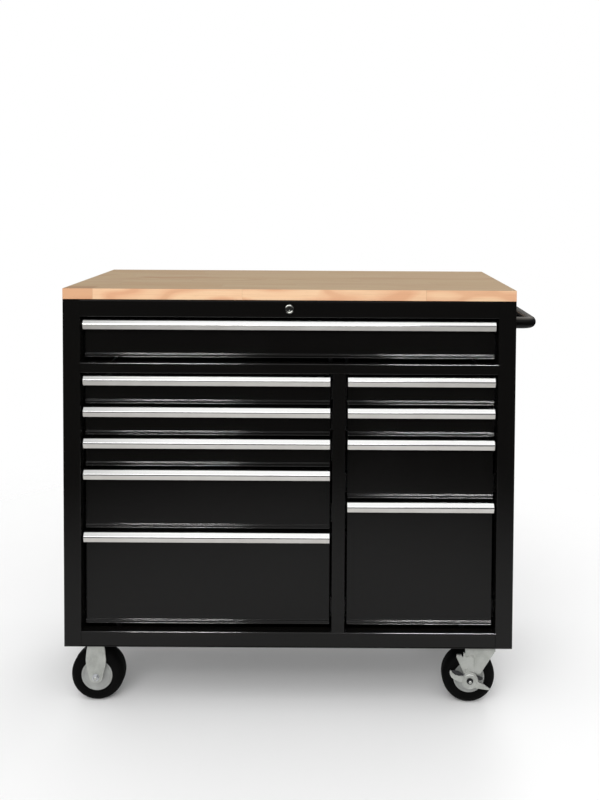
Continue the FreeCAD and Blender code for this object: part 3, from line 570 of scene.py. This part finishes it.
def drawerTray(low, high, s):
    shape = block(low, high)
    bmesh.ops.inset_region(shape, faces=towards(shape, (0, 0, 1)), thickness=s["hem"], use_even_offset=True)

    def fromMiddle(face):
        place = face.calc_center_median()
        return abs(place.x - (low.x + high.x) / 2) + abs(place.y - (low.y + high.y) / 2)

    middle = min(towards(shape, (0, 0, 1)), key=fromMiddle)
    rim = middle.edges[:]
    bmesh.ops.delete(shape, geom=[middle], context="FACES_ONLY")
    draw(shape, bmesh.ops.extrude_edge_only(shape, edges=rim), (0, 0, -s["hemDrop"]))
    bmesh.ops.recalc_face_normals(shape, faces=shape.faces)
    soften(shape, s["trayBend"], 3)
    bmesh.ops.solidify(shape, geom=shape.faces[:], thickness=s["wall"] * s["trayWall"])
    return shape


def drawerCatch(barX, back, z, s):
    # bent tab with the slot that the lock's tooth rises through
    half, slot = s["catchWidth"] / 2, s["slotWidth"] / 2
    shape = block((barX - half, back - s["wall"], z),
                  (barX + half, back + s["catchReach"], z + s["catchPlate"]))
    for x in (barX - slot, barX + slot):
        cutFlat(shape, (x, 0, 0), (1, 0, 0))
    for y in (back + s["slotStart"], back + s["slotEnd"]):
        cutFlat(shape, (0, y, 0), (0, 1, 0))
    middle = [f for f in towards(shape, (0, 0, 1)) + towards(shape, (0, 0, -1))
              if abs(f.calc_center_median().x - barX) < mm
              and s["slotStart"] < f.calc_center_median().y - back < s["slotEnd"]]
    rims = [e for f in middle for e in f.edges]
    bmesh.ops.delete(shape, geom=middle, context="FACES_ONLY")
    bmesh.ops.bridge_loops(shape, edges=rims)
    bmesh.ops.recalc_face_normals(shape, faces=shape.faces)
    return shape


def channel(web, side, start, end, z, s):
    # inner slide member: its web on the tray, its flanges towards the cabinet's wall
    tip = web - side * s["runnerFlange"]
    high, low = z + s["runnerHalf"], z - s["runnerHalf"]
    path = [(tip, start, high), (web, start, high), (web, start, low), (tip, start, low)]
    return foldSheet(path, (0, end - start, 0), -side * s["runnerWall"], s["runnerBend"])


# pulls: one extrusion with a flange on the front, a top web, a sloping brow, a narrow band
# and a lip that leans back
pullSizes = {"height": 22.0 * mm, "wall": 2.4 * mm, "flange": 15.0 * mm, "split": 9.9 * mm,
             "band": 3.0 * mm, "bandLean": 0.40 * mm, "browLean": 6.6 * mm, "browInside": 0.4,
             "tuck": 3.2 * mm, "browRound": 0.9 * mm, "footRound": 0.5 * mm, "edgeRound": 0.4 * mm,
             "endEdge": 0.35 * mm}


def drawerPull(low, high, s):
    back, nose, top = high.y, low.y, high.z
    split, foot, wall = top - s["split"], top - s["height"], s["wall"]
    band, brow, tuck = s["band"] / 2, nose + s["browLean"], nose + s["tuck"]
    lean = nose + s["bandLean"]
    outside = [(back, top), (brow, top), (lean, split + band), (nose, split - band), (tuck, foot)]
    inside = [(tuck + wall, foot), (nose + wall, split - band),
              (nose + wall + s["bandLean"], split + band / 2),
              (brow + s["browInside"] * wall, top - wall), (back - wall, top - wall),
              (back - wall, top - s["flange"]), (back, top - s["flange"])]
    shape = bmesh.new()
    face = shape.faces.new([shape.verts.new((low.x, y, z)) for y, z in outside + inside])
    draw(shape, bmesh.ops.extrude_face_region(shape, geom=[face]), (high.x - low.x, 0, 0))
    bmesh.ops.recalc_face_normals(shape, faces=shape.faces)
    soften(shape, s["browRound"], 5, edges=lengthwise(shape, (brow, top)))
    for place in ((tuck, foot), (tuck + wall, foot)):
        soften(shape, s["footRound"], 3, edges=lengthwise(shape, place))
    for place in ((nose, split - band), (lean, split + band), (back, top)):
        soften(shape, s["edgeRound"], 2, edges=lengthwise(shape, place))
    ends = [e for f in towards(shape, (1, 0, 0)) + towards(shape, (-1, 0, 0)) for e in f.edges]
    return soften(shape, s["endEdge"], 2, edges=list(set(ends)))


for name in drawerNames:
    s = drawerSizes
    low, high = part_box(name + "_box")
    makePiece(name + "_front", drawerFront(low, high, s), enamel, name, [name + "_box"])
    face = low.y + s["rollProud"] + s["lipReach"]
    trayFront = face + s["wall"]
    trayLow = Vector((low.x + s["trayInset"], trayFront, low.z + s["trayAboveLow"]))
    trayHigh = Vector((high.x - s["trayInset"], trayFront + s["trayLength"], high.z - s["trayBelowTop"]))
    barX = barPlaces["right" if name.startswith("right") else "left"]
    tray = gather(drawerTray(trayLow, trayHigh, s),
                  drawerCatch(barX, trayHigh.y, trayLow.z + s["catchRise"], s))
    makePiece(name + "_tray", tray, enamel, name)
    runnerPlace = (face + s["runnerStart"], face + s["runnerEnd"], trayLow.z + s["runnerRise"], s)
    runners = gather(channel(trayLow.x, 1, *runnerPlace), channel(trayHigh.x, -1, *runnerPlace))
    makePiece(name + "_runners", runners, slideZinc, name)
    pull = drawerPull(*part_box(name + "_pull"), pullSizes)
    makePiece(name + "_bar_pull", pull, pullMetal, name, [name + "_pull"])
print("drawers ready")

# push handle: bent tube between two flanges, welded on
handleSizes = {"tube": 13.5 * mm, "wall": 2.0 * mm, "bend": 24.0 * mm, "flange": 27.0 * mm,
               "plate": 4.0 * mm, "plateEdge": 1.2 * mm, "lap": 1.0 * mm, "weld": 3.0 * mm,
               "weldRound": 0.35, "weldTip": 0.2 * mm, "tubeSides": 40, "bendSteps": 14}


def pushHandle(s):
    low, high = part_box("push_handle")
    start, run, z = low.x, high.x - s["tube"], (low.z + high.z) / 2
    front, rear = low.y + s["flange"], high.y - s["flange"]
    bend = s["bend"]
    shape = bmesh.new()
    ring = bmesh.ops.create_circle(shape, radius=s["tube"], segments=s["tubeSides"], cap_ends=False)["verts"]
    bmesh.ops.rotate(shape, cent=(0, 0, 0), verts=ring, matrix=Matrix.Rotation(math.pi / 2, 3, "Y"))
    bmesh.ops.translate(shape, vec=(start, front, z), verts=ring)

    def push(edges, step):
        swept = bmesh.ops.extrude_edge_only(shape, edges=edges)
        draw(shape, swept, step)
        return [e for e in swept["geom"] if isinstance(e, bmesh.types.BMEdge)]

    def swing(edges, centre):
        verts = list({v for e in edges for v in e.verts})
        spun = bmesh.ops.spin(shape, geom=verts + edges, cent=Vector(centre), axis=(0, 0, 1),
                              angle=math.pi / 2, steps=s["bendSteps"], use_merge=False,
                              use_duplicate=False)["geom_last"]
        return [e for e in spun if isinstance(e, bmesh.types.BMEdge)]

    edges = push(shape.edges[:], (run - bend - start, 0, 0))
    edges = swing(edges, (run - bend, front + bend, z))
    edges = push(edges, (0, rear - front - 2 * bend, 0))
    edges = swing(edges, (run - bend, rear - bend, z))
    push(edges, (start - run + bend, 0, 0))
    bmesh.ops.remove_doubles(shape, verts=shape.verts, dist=1e-6)
    bmesh.ops.recalc_face_normals(shape, faces=shape.faces)
    bmesh.ops.solidify(shape, geom=shape.faces[:], thickness=s["wall"])
    tube, flange, plate, edge, weld = s["tube"], s["flange"], s["plate"], s["plateEdge"], s["weld"]
    hollow = s["weldRound"] * weld
    profile = [(tube - s["lap"], 0), (flange, 0), (flange, plate - edge), (flange - edge, plate),
               (tube + weld, plate), (tube + hollow, plate + hollow), (tube - s["weldTip"], plate + weld)]
    flanges = [lathe(profile, (start, y, z), along["x"], 48) for y in (front, rear)]
    return gather(shape, *flanges)


makePiece("side_handle", pushHandle(handleSizes), handleEnamel, "cabinet",
          ["push_handle"], 40)
print("handle ready")

# lock: turned housing with a stepped bezel, and its nut behind the rail; the steps are in millimetres
# out from the plug and in from the bezel's rim, each with its depth
lockSizes = {"bezel": 10.5 * mm, "proud": 3.0 * mm, "barrel": 9.0 * mm, "barrelLength": 24.0 * mm,
             "plug": 6.05 * mm, "nutFlats": 24.0 * mm, "nutHeight": 4.0 * mm, "nutPlay": 0.05 * mm,
             "nutGap": 1.2 * mm, "well": [(0, 1.0), (0.5, 0.4), (1.4, 0.2), (1.8, 0)],
             "rim": [(-1.5, 0), (-0.5, 0.45), (0, 1.5)]}


def lockHousing(s):
    low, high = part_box("lock_housing")
    centre = Vector(((low.x + high.x) / 2, low.y, (low.z + high.z) / 2))
    back, bore = s["proud"] + s["barrelLength"], s["barrel"] + s["nutPlay"]
    profile = ([(s["plug"], back)] + steps(s["plug"], 0, s["well"]) + steps(s["bezel"], 0, s["rim"])
               + [(s["bezel"], s["proud"]), (s["barrel"], s["proud"]), (s["barrel"], back)])
    nut = [(bore, 0), (s["nutFlats"] / 2, 0), (s["nutFlats"] / 2, s["nutHeight"]), (bore, s["nutHeight"])]
    return gather(latheRing(profile, centre, along["y"], 48),
                  lathe(nut, centre + along["y"] * (s["proud"] + s["nutGap"]), along["y"], 6))


makePiece("lock_bezel", lockHousing(lockSizes), chrome, "cabinet", ["lock_housing"])
print("lock ready")

# wheels, made round the axle and then moved to their place; the steps are in millimetres from
# the radius and the width that they are named for
wheelSizes = {"radius": 62.5 * mm, "half": 25.0 * mm, "hub": 37.0 * mm, "rimHalf": 21.5 * mm,
              "bossRadius": 15.0 * mm, "bossHalf": 26.5 * mm, "bore": 6.05 * mm, "dish": 3.0 * mm,
              "bossSteps": [(-5, 0), (-1.4, -0.6), (0, -2.4)], "webSteps": [(1.5, 1.0), (4, 0)],
              "dishSteps": [(-9, 0), (-6.5, 0.6)], "rimSteps": [(-4, -0.5), (-2.5, 0), (-0.6, 0), (0, -0.6)],
              "seatSteps": [(0, 0.6), (1.2, 1.6)],
              "wallSteps": [(3.5, -0.5), (6.5, 0), (9.0, -0.1), (10.0, -0.7), (11.0, -0.3)],
              "shoulderSteps": [(-12, -0.6), (-8, -2.1), (-4.6, -4.6), (-2.1, -8), (-0.6, -12), (0, -17)],
              "grooveSteps": [(0, 0.7), (-0.25, 0.35)]}


def bothSides(half):
    return half + [(r, -w) for r, w in reversed(half)]


def wheelHub(s):
    rim, boss, web = s["rimHalf"], s["bossHalf"], s["rimHalf"] - s["dish"]
    half = ([(s["bore"], boss)] + steps(s["bossRadius"], boss, s["bossSteps"])
            + steps(s["bossRadius"], web, s["webSteps"]) + steps(s["hub"], web, s["dishSteps"])
            + steps(s["hub"], rim, s["rimSteps"]))
    return latheRing(bothSides(half), (0, 0, 0), along["y"], 72)


def wheelTyre(s):
    half = (steps(s["hub"], s["rimHalf"], s["seatSteps"]) + steps(s["hub"], s["half"], s["wallSteps"])
            + steps(s["radius"], s["half"], s["shoulderSteps"]) + steps(s["radius"], 0, s["grooveSteps"]))
    return latheRing(bothSides(half), (0, 0, 0), along["y"], 96)


# caster forks; outlines, rounds and steps are in millimetres from the axle
forkSizes = {"plate": 3.0 * mm, "inner": 28.5 * mm, "outer": 31.5 * mm, "under": 89.5 * mm,
             "trail": 29.0 * mm, "baseX": 52.5 * mm, "baseY": 45.0 * mm, "baseRound": 8.0 * mm,
             "baseEdge": 0.5 * mm,
             "crownTop": 81.2 * mm, "crown": 5.0 * mm, "legEdge": 0.6,
             "rigidTop": 18, "rigidShoulder": (21.5, 14), "rigidDrop": 9.0 * mm, "rigidBend": 6 * mm,
             "rigidSide": [(24, 43), (23, 30), (13, -13)], "rigidRounds": [0, 30, 18, 30, 11.5],
             "swivelTop": (-10.5, 60), "swivelCrown": (-10.5 * mm, 60.5 * mm), "swivelHeel": (56, 6),
             "swivelDrop": 14.0 * mm, "swivelBend": 12 * mm,
             "swivelSide": [(-11, 0), (-11, -11), (11, -11), (22, 7.5)],
             "swivelRounds": [0, 0, 9.9, 9.9, 11, 9, 2],
             "race": [(0.1, 0), (30, 0), (31, -1.5), (30.5, -4.5), (28, -6.5), (24, -7.9), (0.1, -7.9)],
             "pin": [(0.1, 0), (9, 0), (11, 1.5), (11, 4), (6, 4)], "pinBelow": 4.3 * mm}
boltSizes = {"head": 6.0 * mm, "leftFlats": 13.0 * mm, "rightFlats": 11 * mm, "washer": 1.2 * mm,
             "showing": 1.0 * mm, "crown": 0.35, "endPast": 1.6 * mm, "pastBracket": 3.3 * mm,
             "nutPastBracket": 5.8 * mm,
             "endSteps": [(0.1, 0), (2.6, 0), (3.6, -0.9), (4, -1.4)],
             "washerFoot": [(4.5, 0), (8.4, 0), (8.6, 0.3)], "washerTop": [(8.6, 0), (4.5, 0)],
             "collarFoot": [(4, 0), (5.3, 0)], "collarTop": [(5.3, 0.2), (4.7, 0.8), (4, 0.8)]}
# bracket over the swivel fork's outer leg, with its bent tabs and rivet
bracketSizes = {"plate": 2.5 * mm, "edge": 0.9, "tabReach": 2.2, "tabEdge": 0.7 * mm,
                "shape": [(-31.8, 55.5), (-31.4, 58.5), (-20, 61.5), (-18.6, 56), (-15.6, 56), (-15, 64.5),
                          (-10.4, 63.5), (-9, 57), (-6, 55.8), (7.6, 56.6), (10.6, 53.5), (10.6, 9),
                          (11, -11), (-11, -11), (-11, 0), (-15, 18)],
                "rounds": [1, 1.5, 1, 1, 1, 1, 1.5, 2, 1, 1.5, 2.5, 0, 9.9, 9.9, 6, 8],
                "tabs": [(-31, -20.4, 60), (-14.8, -10.8, 65), (-2.5, 7.4, 57.6)],
                "rivet": [(0.05, -1.5), (1.6, -1.3), (2.6, -0.5), (2.7, 0.2), (2.7, 2.5)],
                "rivetX": -7.5 * mm, "rivetZ": 26 * mm}


def legPlate(points, rounds, near, plate, edge):
    flat = [(x * mm, near, z * mm) for x, z in points]
    return outline(flat, [r * mm for r in rounds], (0, plate, 0), edge * mm)


def forkLegs(points, rounds, s):
    return [legPlate(points, rounds, near, s["plate"], s["legEdge"]) for near in (-s["outer"], s["inner"])]


def basePlate(x, s):
    bx, by, z = s["baseX"], s["baseY"], s["under"]
    corners = [(x - bx, -by, z), (x + bx, -by, z), (x + bx, by, z), (x - bx, by, z)]
    return outline(corners, [s["baseRound"]] * 4, (0, 0, s["plate"]), s["baseEdge"])


def axleBolt(near, far, b):
    # shank with its rounded ends
    half = steps(0, b["head"] + b["endPast"], b["endSteps"])
    profile = [(r, near - h) for r, h in half] + [(r, far + h) for r, h in reversed(half)]
    return lathe(profile, (0, 0, 0), along["y"], 28)


def axleNuts(near, far, flats, b):
    # washer, hexagon and locking collar on each side
    ring = steps(0, 0, b["washerFoot"]) + steps(0, b["washer"], b["washerTop"])
    collar = steps(0, b["washer"], b["collarFoot"]) + steps(0, b["head"], b["collarTop"])
    crown = flats * 0.5 * b["crown"] * b["crown"]
    shapes = []
    for place, way in ((near, -1), (far, 1)):
        axis, seat = along["y"] * way, (0, place + way * b["washer"], 0)
        shapes += [latheRing(ring, (0, place, 0), axis, 40), latheRing(collar, (0, place, 0), axis, 32),
                   hexNut(seat, axis, flats, b["head"] - b["washer"] - b["showing"], crown)]
    return gather(*shapes)


def yoke(left, right, top, drop, bend, s):
    # strip bent down on both sides, from which the legs hang
    out = s["outer"]
    path = [(left, -out, top - drop), (left, -out, top), (left, out, top), (left, out, top - drop)]
    return foldSheet(path, (right - left, 0, 0), s["plate"], bend, 6)


def rigidFork(s):
    top, drop = s["under"], s["rigidDrop"]
    low = (top - drop) / mm
    wide, below = s["rigidShoulder"]
    side = [(s["rigidTop"], low), (wide, low - below)] + s["rigidSide"]
    legs = forkLegs([(-x, z) for x, z in side] + side[::-1], s["rigidRounds"] + s["rigidRounds"][::-1], s)
    crown = yoke(-s["rigidTop"] * mm, s["rigidTop"] * mm, top, drop, s["rigidBend"], s)
    return gather(basePlate(0, s), crown, *legs, axleBolt(-s["outer"], s["outer"], boltSizes))


def swivelFork(s, b):
    top, drop = s["crownTop"], s["swivelDrop"]
    low = (top - drop) / mm
    (front, back), (heel, below) = s["swivelTop"], s["swivelHeel"]
    leg = [(front, low)] + s["swivelSide"] + [(heel, low - below), (back, low)]
    legs = forkLegs(leg, s["swivelRounds"], s)
    crown = yoke(*s["swivelCrown"], top, drop, s["swivelBend"], s)
    plate = b["plate"]
    near = -s["outer"] - plate
    cover = legPlate(b["shape"], b["rounds"], near, plate, b["edge"])
    rivet = lathe(steps(0, 0, b["rivet"]), (b["rivetX"], near, b["rivetZ"]), along["y"], 24)
    tabs = [soften(block((x0 * mm, near, z * mm - plate), (x1 * mm, near + b["tabReach"] * plate, z * mm)),
                   b["tabEdge"], 3) for x0, x1, z in b["tabs"]]
    bolt = axleBolt(near - boltSizes["pastBracket"], s["outer"], boltSizes)
    return gather(crown, *legs, cover, rivet, *tabs, bolt)


def swivelTop(s):
    # top plate with its ball race and kingpin
    under = s["under"]
    race = lathe(steps(0, under, s["race"]), (s["trail"], 0, 0), along["z"], 56)
    low = s["crownTop"] - s["crown"] - s["pinBelow"]
    pin = lathe(steps(0, low, s["pin"]) + steps(0, under, [(6, 0)]), (s["trail"], 0, 0), along["z"], 32)
    return gather(basePlate(s["trail"], s), race, pin)


# side brake: a pressed butterfly with a round grooved boss, a rising toe on the left and a falling one on the
# right, and in the hollow of each a dark steel plate as painted shade; all in millimetres from the axle
brakeSizes = {"stand": 5.4 * mm, "cupStand": 5.0 * mm, "leftSink": 1.6 * mm, "rightSink": 0.6 * mm,
              "leftWall": 4.0 * mm, "rightWall": 3.0 * mm, "leftEdge": 1.2, "rightEdge": 1.3,
              "cupWall": 1.6 * mm, "cupEdge": 0.7, "dotZ": -14.5 * mm,
              "boss": [(7.4, 0.2), (7.6, -1.7), (8.6, -2.5), (12.5, -2.9), (15.2, -2.6), (16.2, -1.6),
                       (17.2, -1.5), (18, -2), (19.2, -1.5), (19.8, -0.2), (19.8, 2.4), (6.1, 2.4),
                       (6.1, 0.2)],
              "leftToe": [(-47.6, 24.8), (-47.4, 16), (-43.4, 8.5), (-38, 4), (-30, 0.5), (-20, -3), (-12, 4),
                          (-16, 13), (-26, 12.2), (-35, 15), (-41.5, 20), (-44.6, 25.6)],
              "leftRounds": [0.8, 5, 6, 6, 6, 2, 2, 5, 8, 8, 8, 0.8],
              "rightToe": [(10, 4), (19, -3), (27, -6.5), (33, -8), (40.8, -14.5), (49.8, -20.5),
                           (49.4, -22.6), (38.7, -21.4), (25.7, -19.5), (10, -17)],
              "rightRounds": [1, 5, 4, 5, 7, 0.8, 0.8, 8, 6, 1],
              "dot": [(0.05, -2.6), (0.9, -3.1), (1.5, -3.2), (1.9, -2.4)],
              "leftCup": [(-45, 24.2), (-41, 18), (-33, 13.5), (-24, 10.5), (-16, 10.5), (-14.5, 14.5),
                          (-18, 18), (-27, 22.6), (-37, 25.4)],
              "leftCupRounds": [1, 4, 6, 6, 2, 2, 5, 8, 6],
              "rightCup": [(12, 12), (15, 4), (24, 0.5), (30.5, 2.5), (31, 6.5), (27, 9.8), (19, 12.6)],
              "rightCupRounds": [1, 3, 4, 2, 2, 3, 3]}


def brakeLever(near, b):
    middle = latheRing(steps(0, 0, b["boss"]), (0, near, 0), along["y"], 64)
    left = legPlate(b["leftToe"], b["leftRounds"], near - b["leftSink"], b["leftWall"], b["leftEdge"])
    right = legPlate(b["rightToe"], b["rightRounds"], near - b["rightSink"], b["rightWall"], b["rightEdge"])
    dot = lathe(steps(0, 0, b["dot"]), (0, near, b["dotZ"]), along["y"], 20)
    return gather(middle, left, right, dot)


# dark plates in the lever's two hollows: painted shade
def brakeCupShade(near, b):
    return gather(legPlate(b["leftCup"], b["leftCupRounds"], near, b["cupWall"], b["cupEdge"]),
                  legPlate(b["rightCup"], b["rightCupRounds"], near, b["cupWall"], b["cupEdge"]))


outer = forkSizes["outer"]
rigidForks, plates = [], []
for corner in ("front_left", "rear_left", "front_right", "rear_right"):
    low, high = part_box(corner + "_tyre")
    centre = (low + high) / 2
    body = corner + "_wheel"
    hub, tyre = move(wheelHub(wheelSizes), centre), move(wheelTyre(wheelSizes), centre)
    makePiece(corner + "_wheel_hub", hub, hubGrey, body, [corner + "_hub"])
    makePiece(corner + "_wheel_tyre", tyre, rubber, body, [corner + "_tyre"], 25)
    if corner.endswith("left"):
        rigidForks.append(move(rigidFork(forkSizes), centre))
        nuts = axleNuts(-outer, outer, boltSizes["leftFlats"], boltSizes)
        makePiece(corner + "_axle_nuts", move(nuts, centre), zinc, "cabinet")
        continue
    end = corner.split("_")[0]
    swivel, brake = end + "_swivel", end + "_brake"
    plates.append(move(swivelTop(forkSizes), centre))
    fork = move(swivelFork(forkSizes, bracketSizes), centre)
    makePiece(end + "_fork", fork, casterZinc, swivel, [swivel + "_fork"])
    lever = move(brakeLever(-outer - brakeSizes["stand"], brakeSizes), centre)
    makePiece(end + "_toe_brake", lever, casterZinc, brake, [brake + "_lever"])
    # dark plates in the toe hollows, painted shade
    cupShade = move(brakeCupShade(-outer - brakeSizes["cupStand"], brakeSizes), centre)
    makePiece(end + "_toe_cups", cupShade, darkSteelAndShade, brake)
    nuts = axleNuts(-outer - boltSizes["nutPastBracket"], outer, boltSizes["rightFlats"], boltSizes)
    makePiece(end + "_axle_nuts", move(nuts, centre), darkSteelAndShade, swivel)
makePiece("rigid_forks", gather(*rigidForks), casterZinc, "cabinet", ["rigid_caster_forks"])
makePiece("swivel_plates", gather(*plates), casterZinc, "cabinet", ["swivel_top_plates"])
print("casters ready")

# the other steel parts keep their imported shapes
steel = {"black_enamel": ["left_side_panel", "right_side_panel", "back_panel", "bottom_panel", "top_panel",
                          "top_rail", "middle_rail", "bottom_rail", "center_partition"],
         "zinc_steel": (["mounting_bolts", "lock_bars", "cabinet_slide_rails"]
                        + [n + "_slides" for n in drawerNames]),
         "lock_chrome": ["lock_plug"]}
looks = {"black_enamel": enamel, "zinc_steel": slideZinc, "lock_chrome": chrome}
for slot, names in steel.items():
    for name in names:
        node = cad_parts[name]
        finish = darkSteelAndShade if name in ("mounting_bolts", "lock_bars") else looks[slot]
        node.data.materials.clear()
        node.data.materials.append(finish.material)
        if finish is enamel and name != "top_rail":
            enamelled.objects.link(node)

# stage: a pale floor that fades out, and a white surround
stageSizes = {"floor": 4.0, "fadeStart": 0.6, "fadeEnd": 2.2, "paleness": (0.90, 0.92), "ambient": 0.80,
              "farFloor": 0.03, "horizon": 0.18, "hazeStart": 0.25, "hazeEnd": 0.62, "ceilingLeft": 0.4,
              "ceilingEdge": -0.24, "ceilingBlur": 0.06}
floorFinish = Finish("studio_floor", Roughness=0.8, Specular_IOR_Level=0.1)
distance = floorFinish.add("ShaderNodeVectorMath", {"operation": "LENGTH"}, {0: floorFinish.where}, "Value")
pale = [(level, level, level, 1.0) for level in stageSizes["paleness"]]
floorFinish.paint(Base_Color=floorFinish.blend(floorFinish.noise(floorFinish.where, 2.0), *pale),
                  Alpha=floorFinish.ramp(distance, stageSizes["fadeStart"], stageSizes["fadeEnd"], 1.0, 0.0))
shape = bmesh.new()
bmesh.ops.create_grid(shape, x_segments=1, y_segments=1, size=stageSizes["floor"])
mesh = bpy.data.meshes.new("studio_floor")
shape.to_mesh(mesh)
shape.free()
mesh.materials.append(floorFinish.material)
floor = bpy.data.objects.new("studio_floor", mesh)
scene.collection.objects.link(floor)
ground = bpy.data.collections.new("ground")
ground.objects.link(floor)

world = bpy.data.worlds.new("studio")
scene.world = world
world.use_nodes = True
sky = Maker(world.node_tree)
background = next(n for n in world.node_tree.nodes if n.type == "BACKGROUND")
rays = sky.add("ShaderNodeLightPath").socket.node.outputs
camera = Value(sky, rays["Is Camera Ray"])
mirror = Value(sky, rays["Is Glossy Ray"]) + Value(sky, rays["Is Transmission Ray"])
heading = sky.add("ShaderNodeTexCoord", {}, {}, "Generated")
axes = sky.outputs(sky.add("ShaderNodeSeparateXYZ", {}, {"Vector": heading}))
right, up = axes[0], axes[2]
# reflections find a dim far room round the stage and a white ceiling, dimmer on the far left
room = sky.ramp(up, -0.02, 0.02, stageSizes["farFloor"], stageSizes["horizon"])
ceiling = sky.ramp(up, stageSizes["hazeStart"], stageSizes["hazeEnd"], 0.0, 1 - stageSizes["horizon"])
edge, blur = stageSizes["ceilingEdge"], stageSizes["ceilingBlur"]
ceiling = ceiling * sky.ramp(right, edge - blur, edge + blur, stageSizes["ceilingLeft"], 1.0)
shown = camera + mirror * (room + ceiling)
sky.plug(background.inputs["Strength"], shown + (1 - camera - mirror) * stageSizes["ambient"])
background.inputs["Color"].default_value = (1, 1, 1, 1)


def softbox(name, place, aim, size, power, shines=True, only=None):
    lamp = bpy.data.lights.new(name, "AREA")
    lamp.shape, lamp.size, lamp.size_y, lamp.energy = "RECTANGLE", size[0], size[1], power
    thing = bpy.data.objects.new(name, lamp)
    thing.location = place
    thing.rotation_euler = (Vector(aim) - Vector(place)).to_track_quat("-Z", "Y").to_euler()
    thing.visible_camera = False
    thing.visible_glossy = shines
    if only:
        thing.visible_diffuse = only is not enamelled
        thing.light_linking.receiver_collection = only
    scene.collection.objects.link(thing)


softbox("front_light", (-0.7, -3.2, 2.0), (0, 0, 0.5), (2.6, 1.6), 42)
softbox("back_light", (1.2, 3.2, 2.4), (0, 0, 0.3), (2.2, 1.4), 40, False)
softbox("floor_light", (0, -2.4, 3.2), (0, -1.3, 0), (3.2, 2.2), 34, only=ground)
# bright narrow lamps that only show in the folds of the painted steel
softbox("edge_light_left", (-0.70, -2.2, 2.0), (-0.3, -0.2, 0.5), (0.56, 0.30), 230, only=enamelled)
softbox("edge_light_right", (0.70, -2.2, 2.0), (0.3, -0.2, 0.5), (0.74, 0.30), 360, only=enamelled)

view = {"place": (0.06825, -2.1695, 1.2175), "tilt": 2.0, "roll": 0.33, "film": 36, "lens": 38.3,
        "shift": (-0.041, -0.225)}
lens = bpy.data.cameras.new("camera")
lens.sensor_width, lens.lens = view["film"], view["lens"]
lens.shift_x, lens.shift_y = view["shift"]
eye = bpy.data.objects.new("camera", lens)
eye.matrix_world = (Matrix.Translation(view["place"])
                    @ Matrix.Rotation(math.radians(90 - view["tilt"]), 4, "X")
                    @ Matrix.Rotation(math.radians(view["roll"]), 4, "Z"))
scene.collection.objects.link(eye)
scene.camera = eye
print("stage ready")
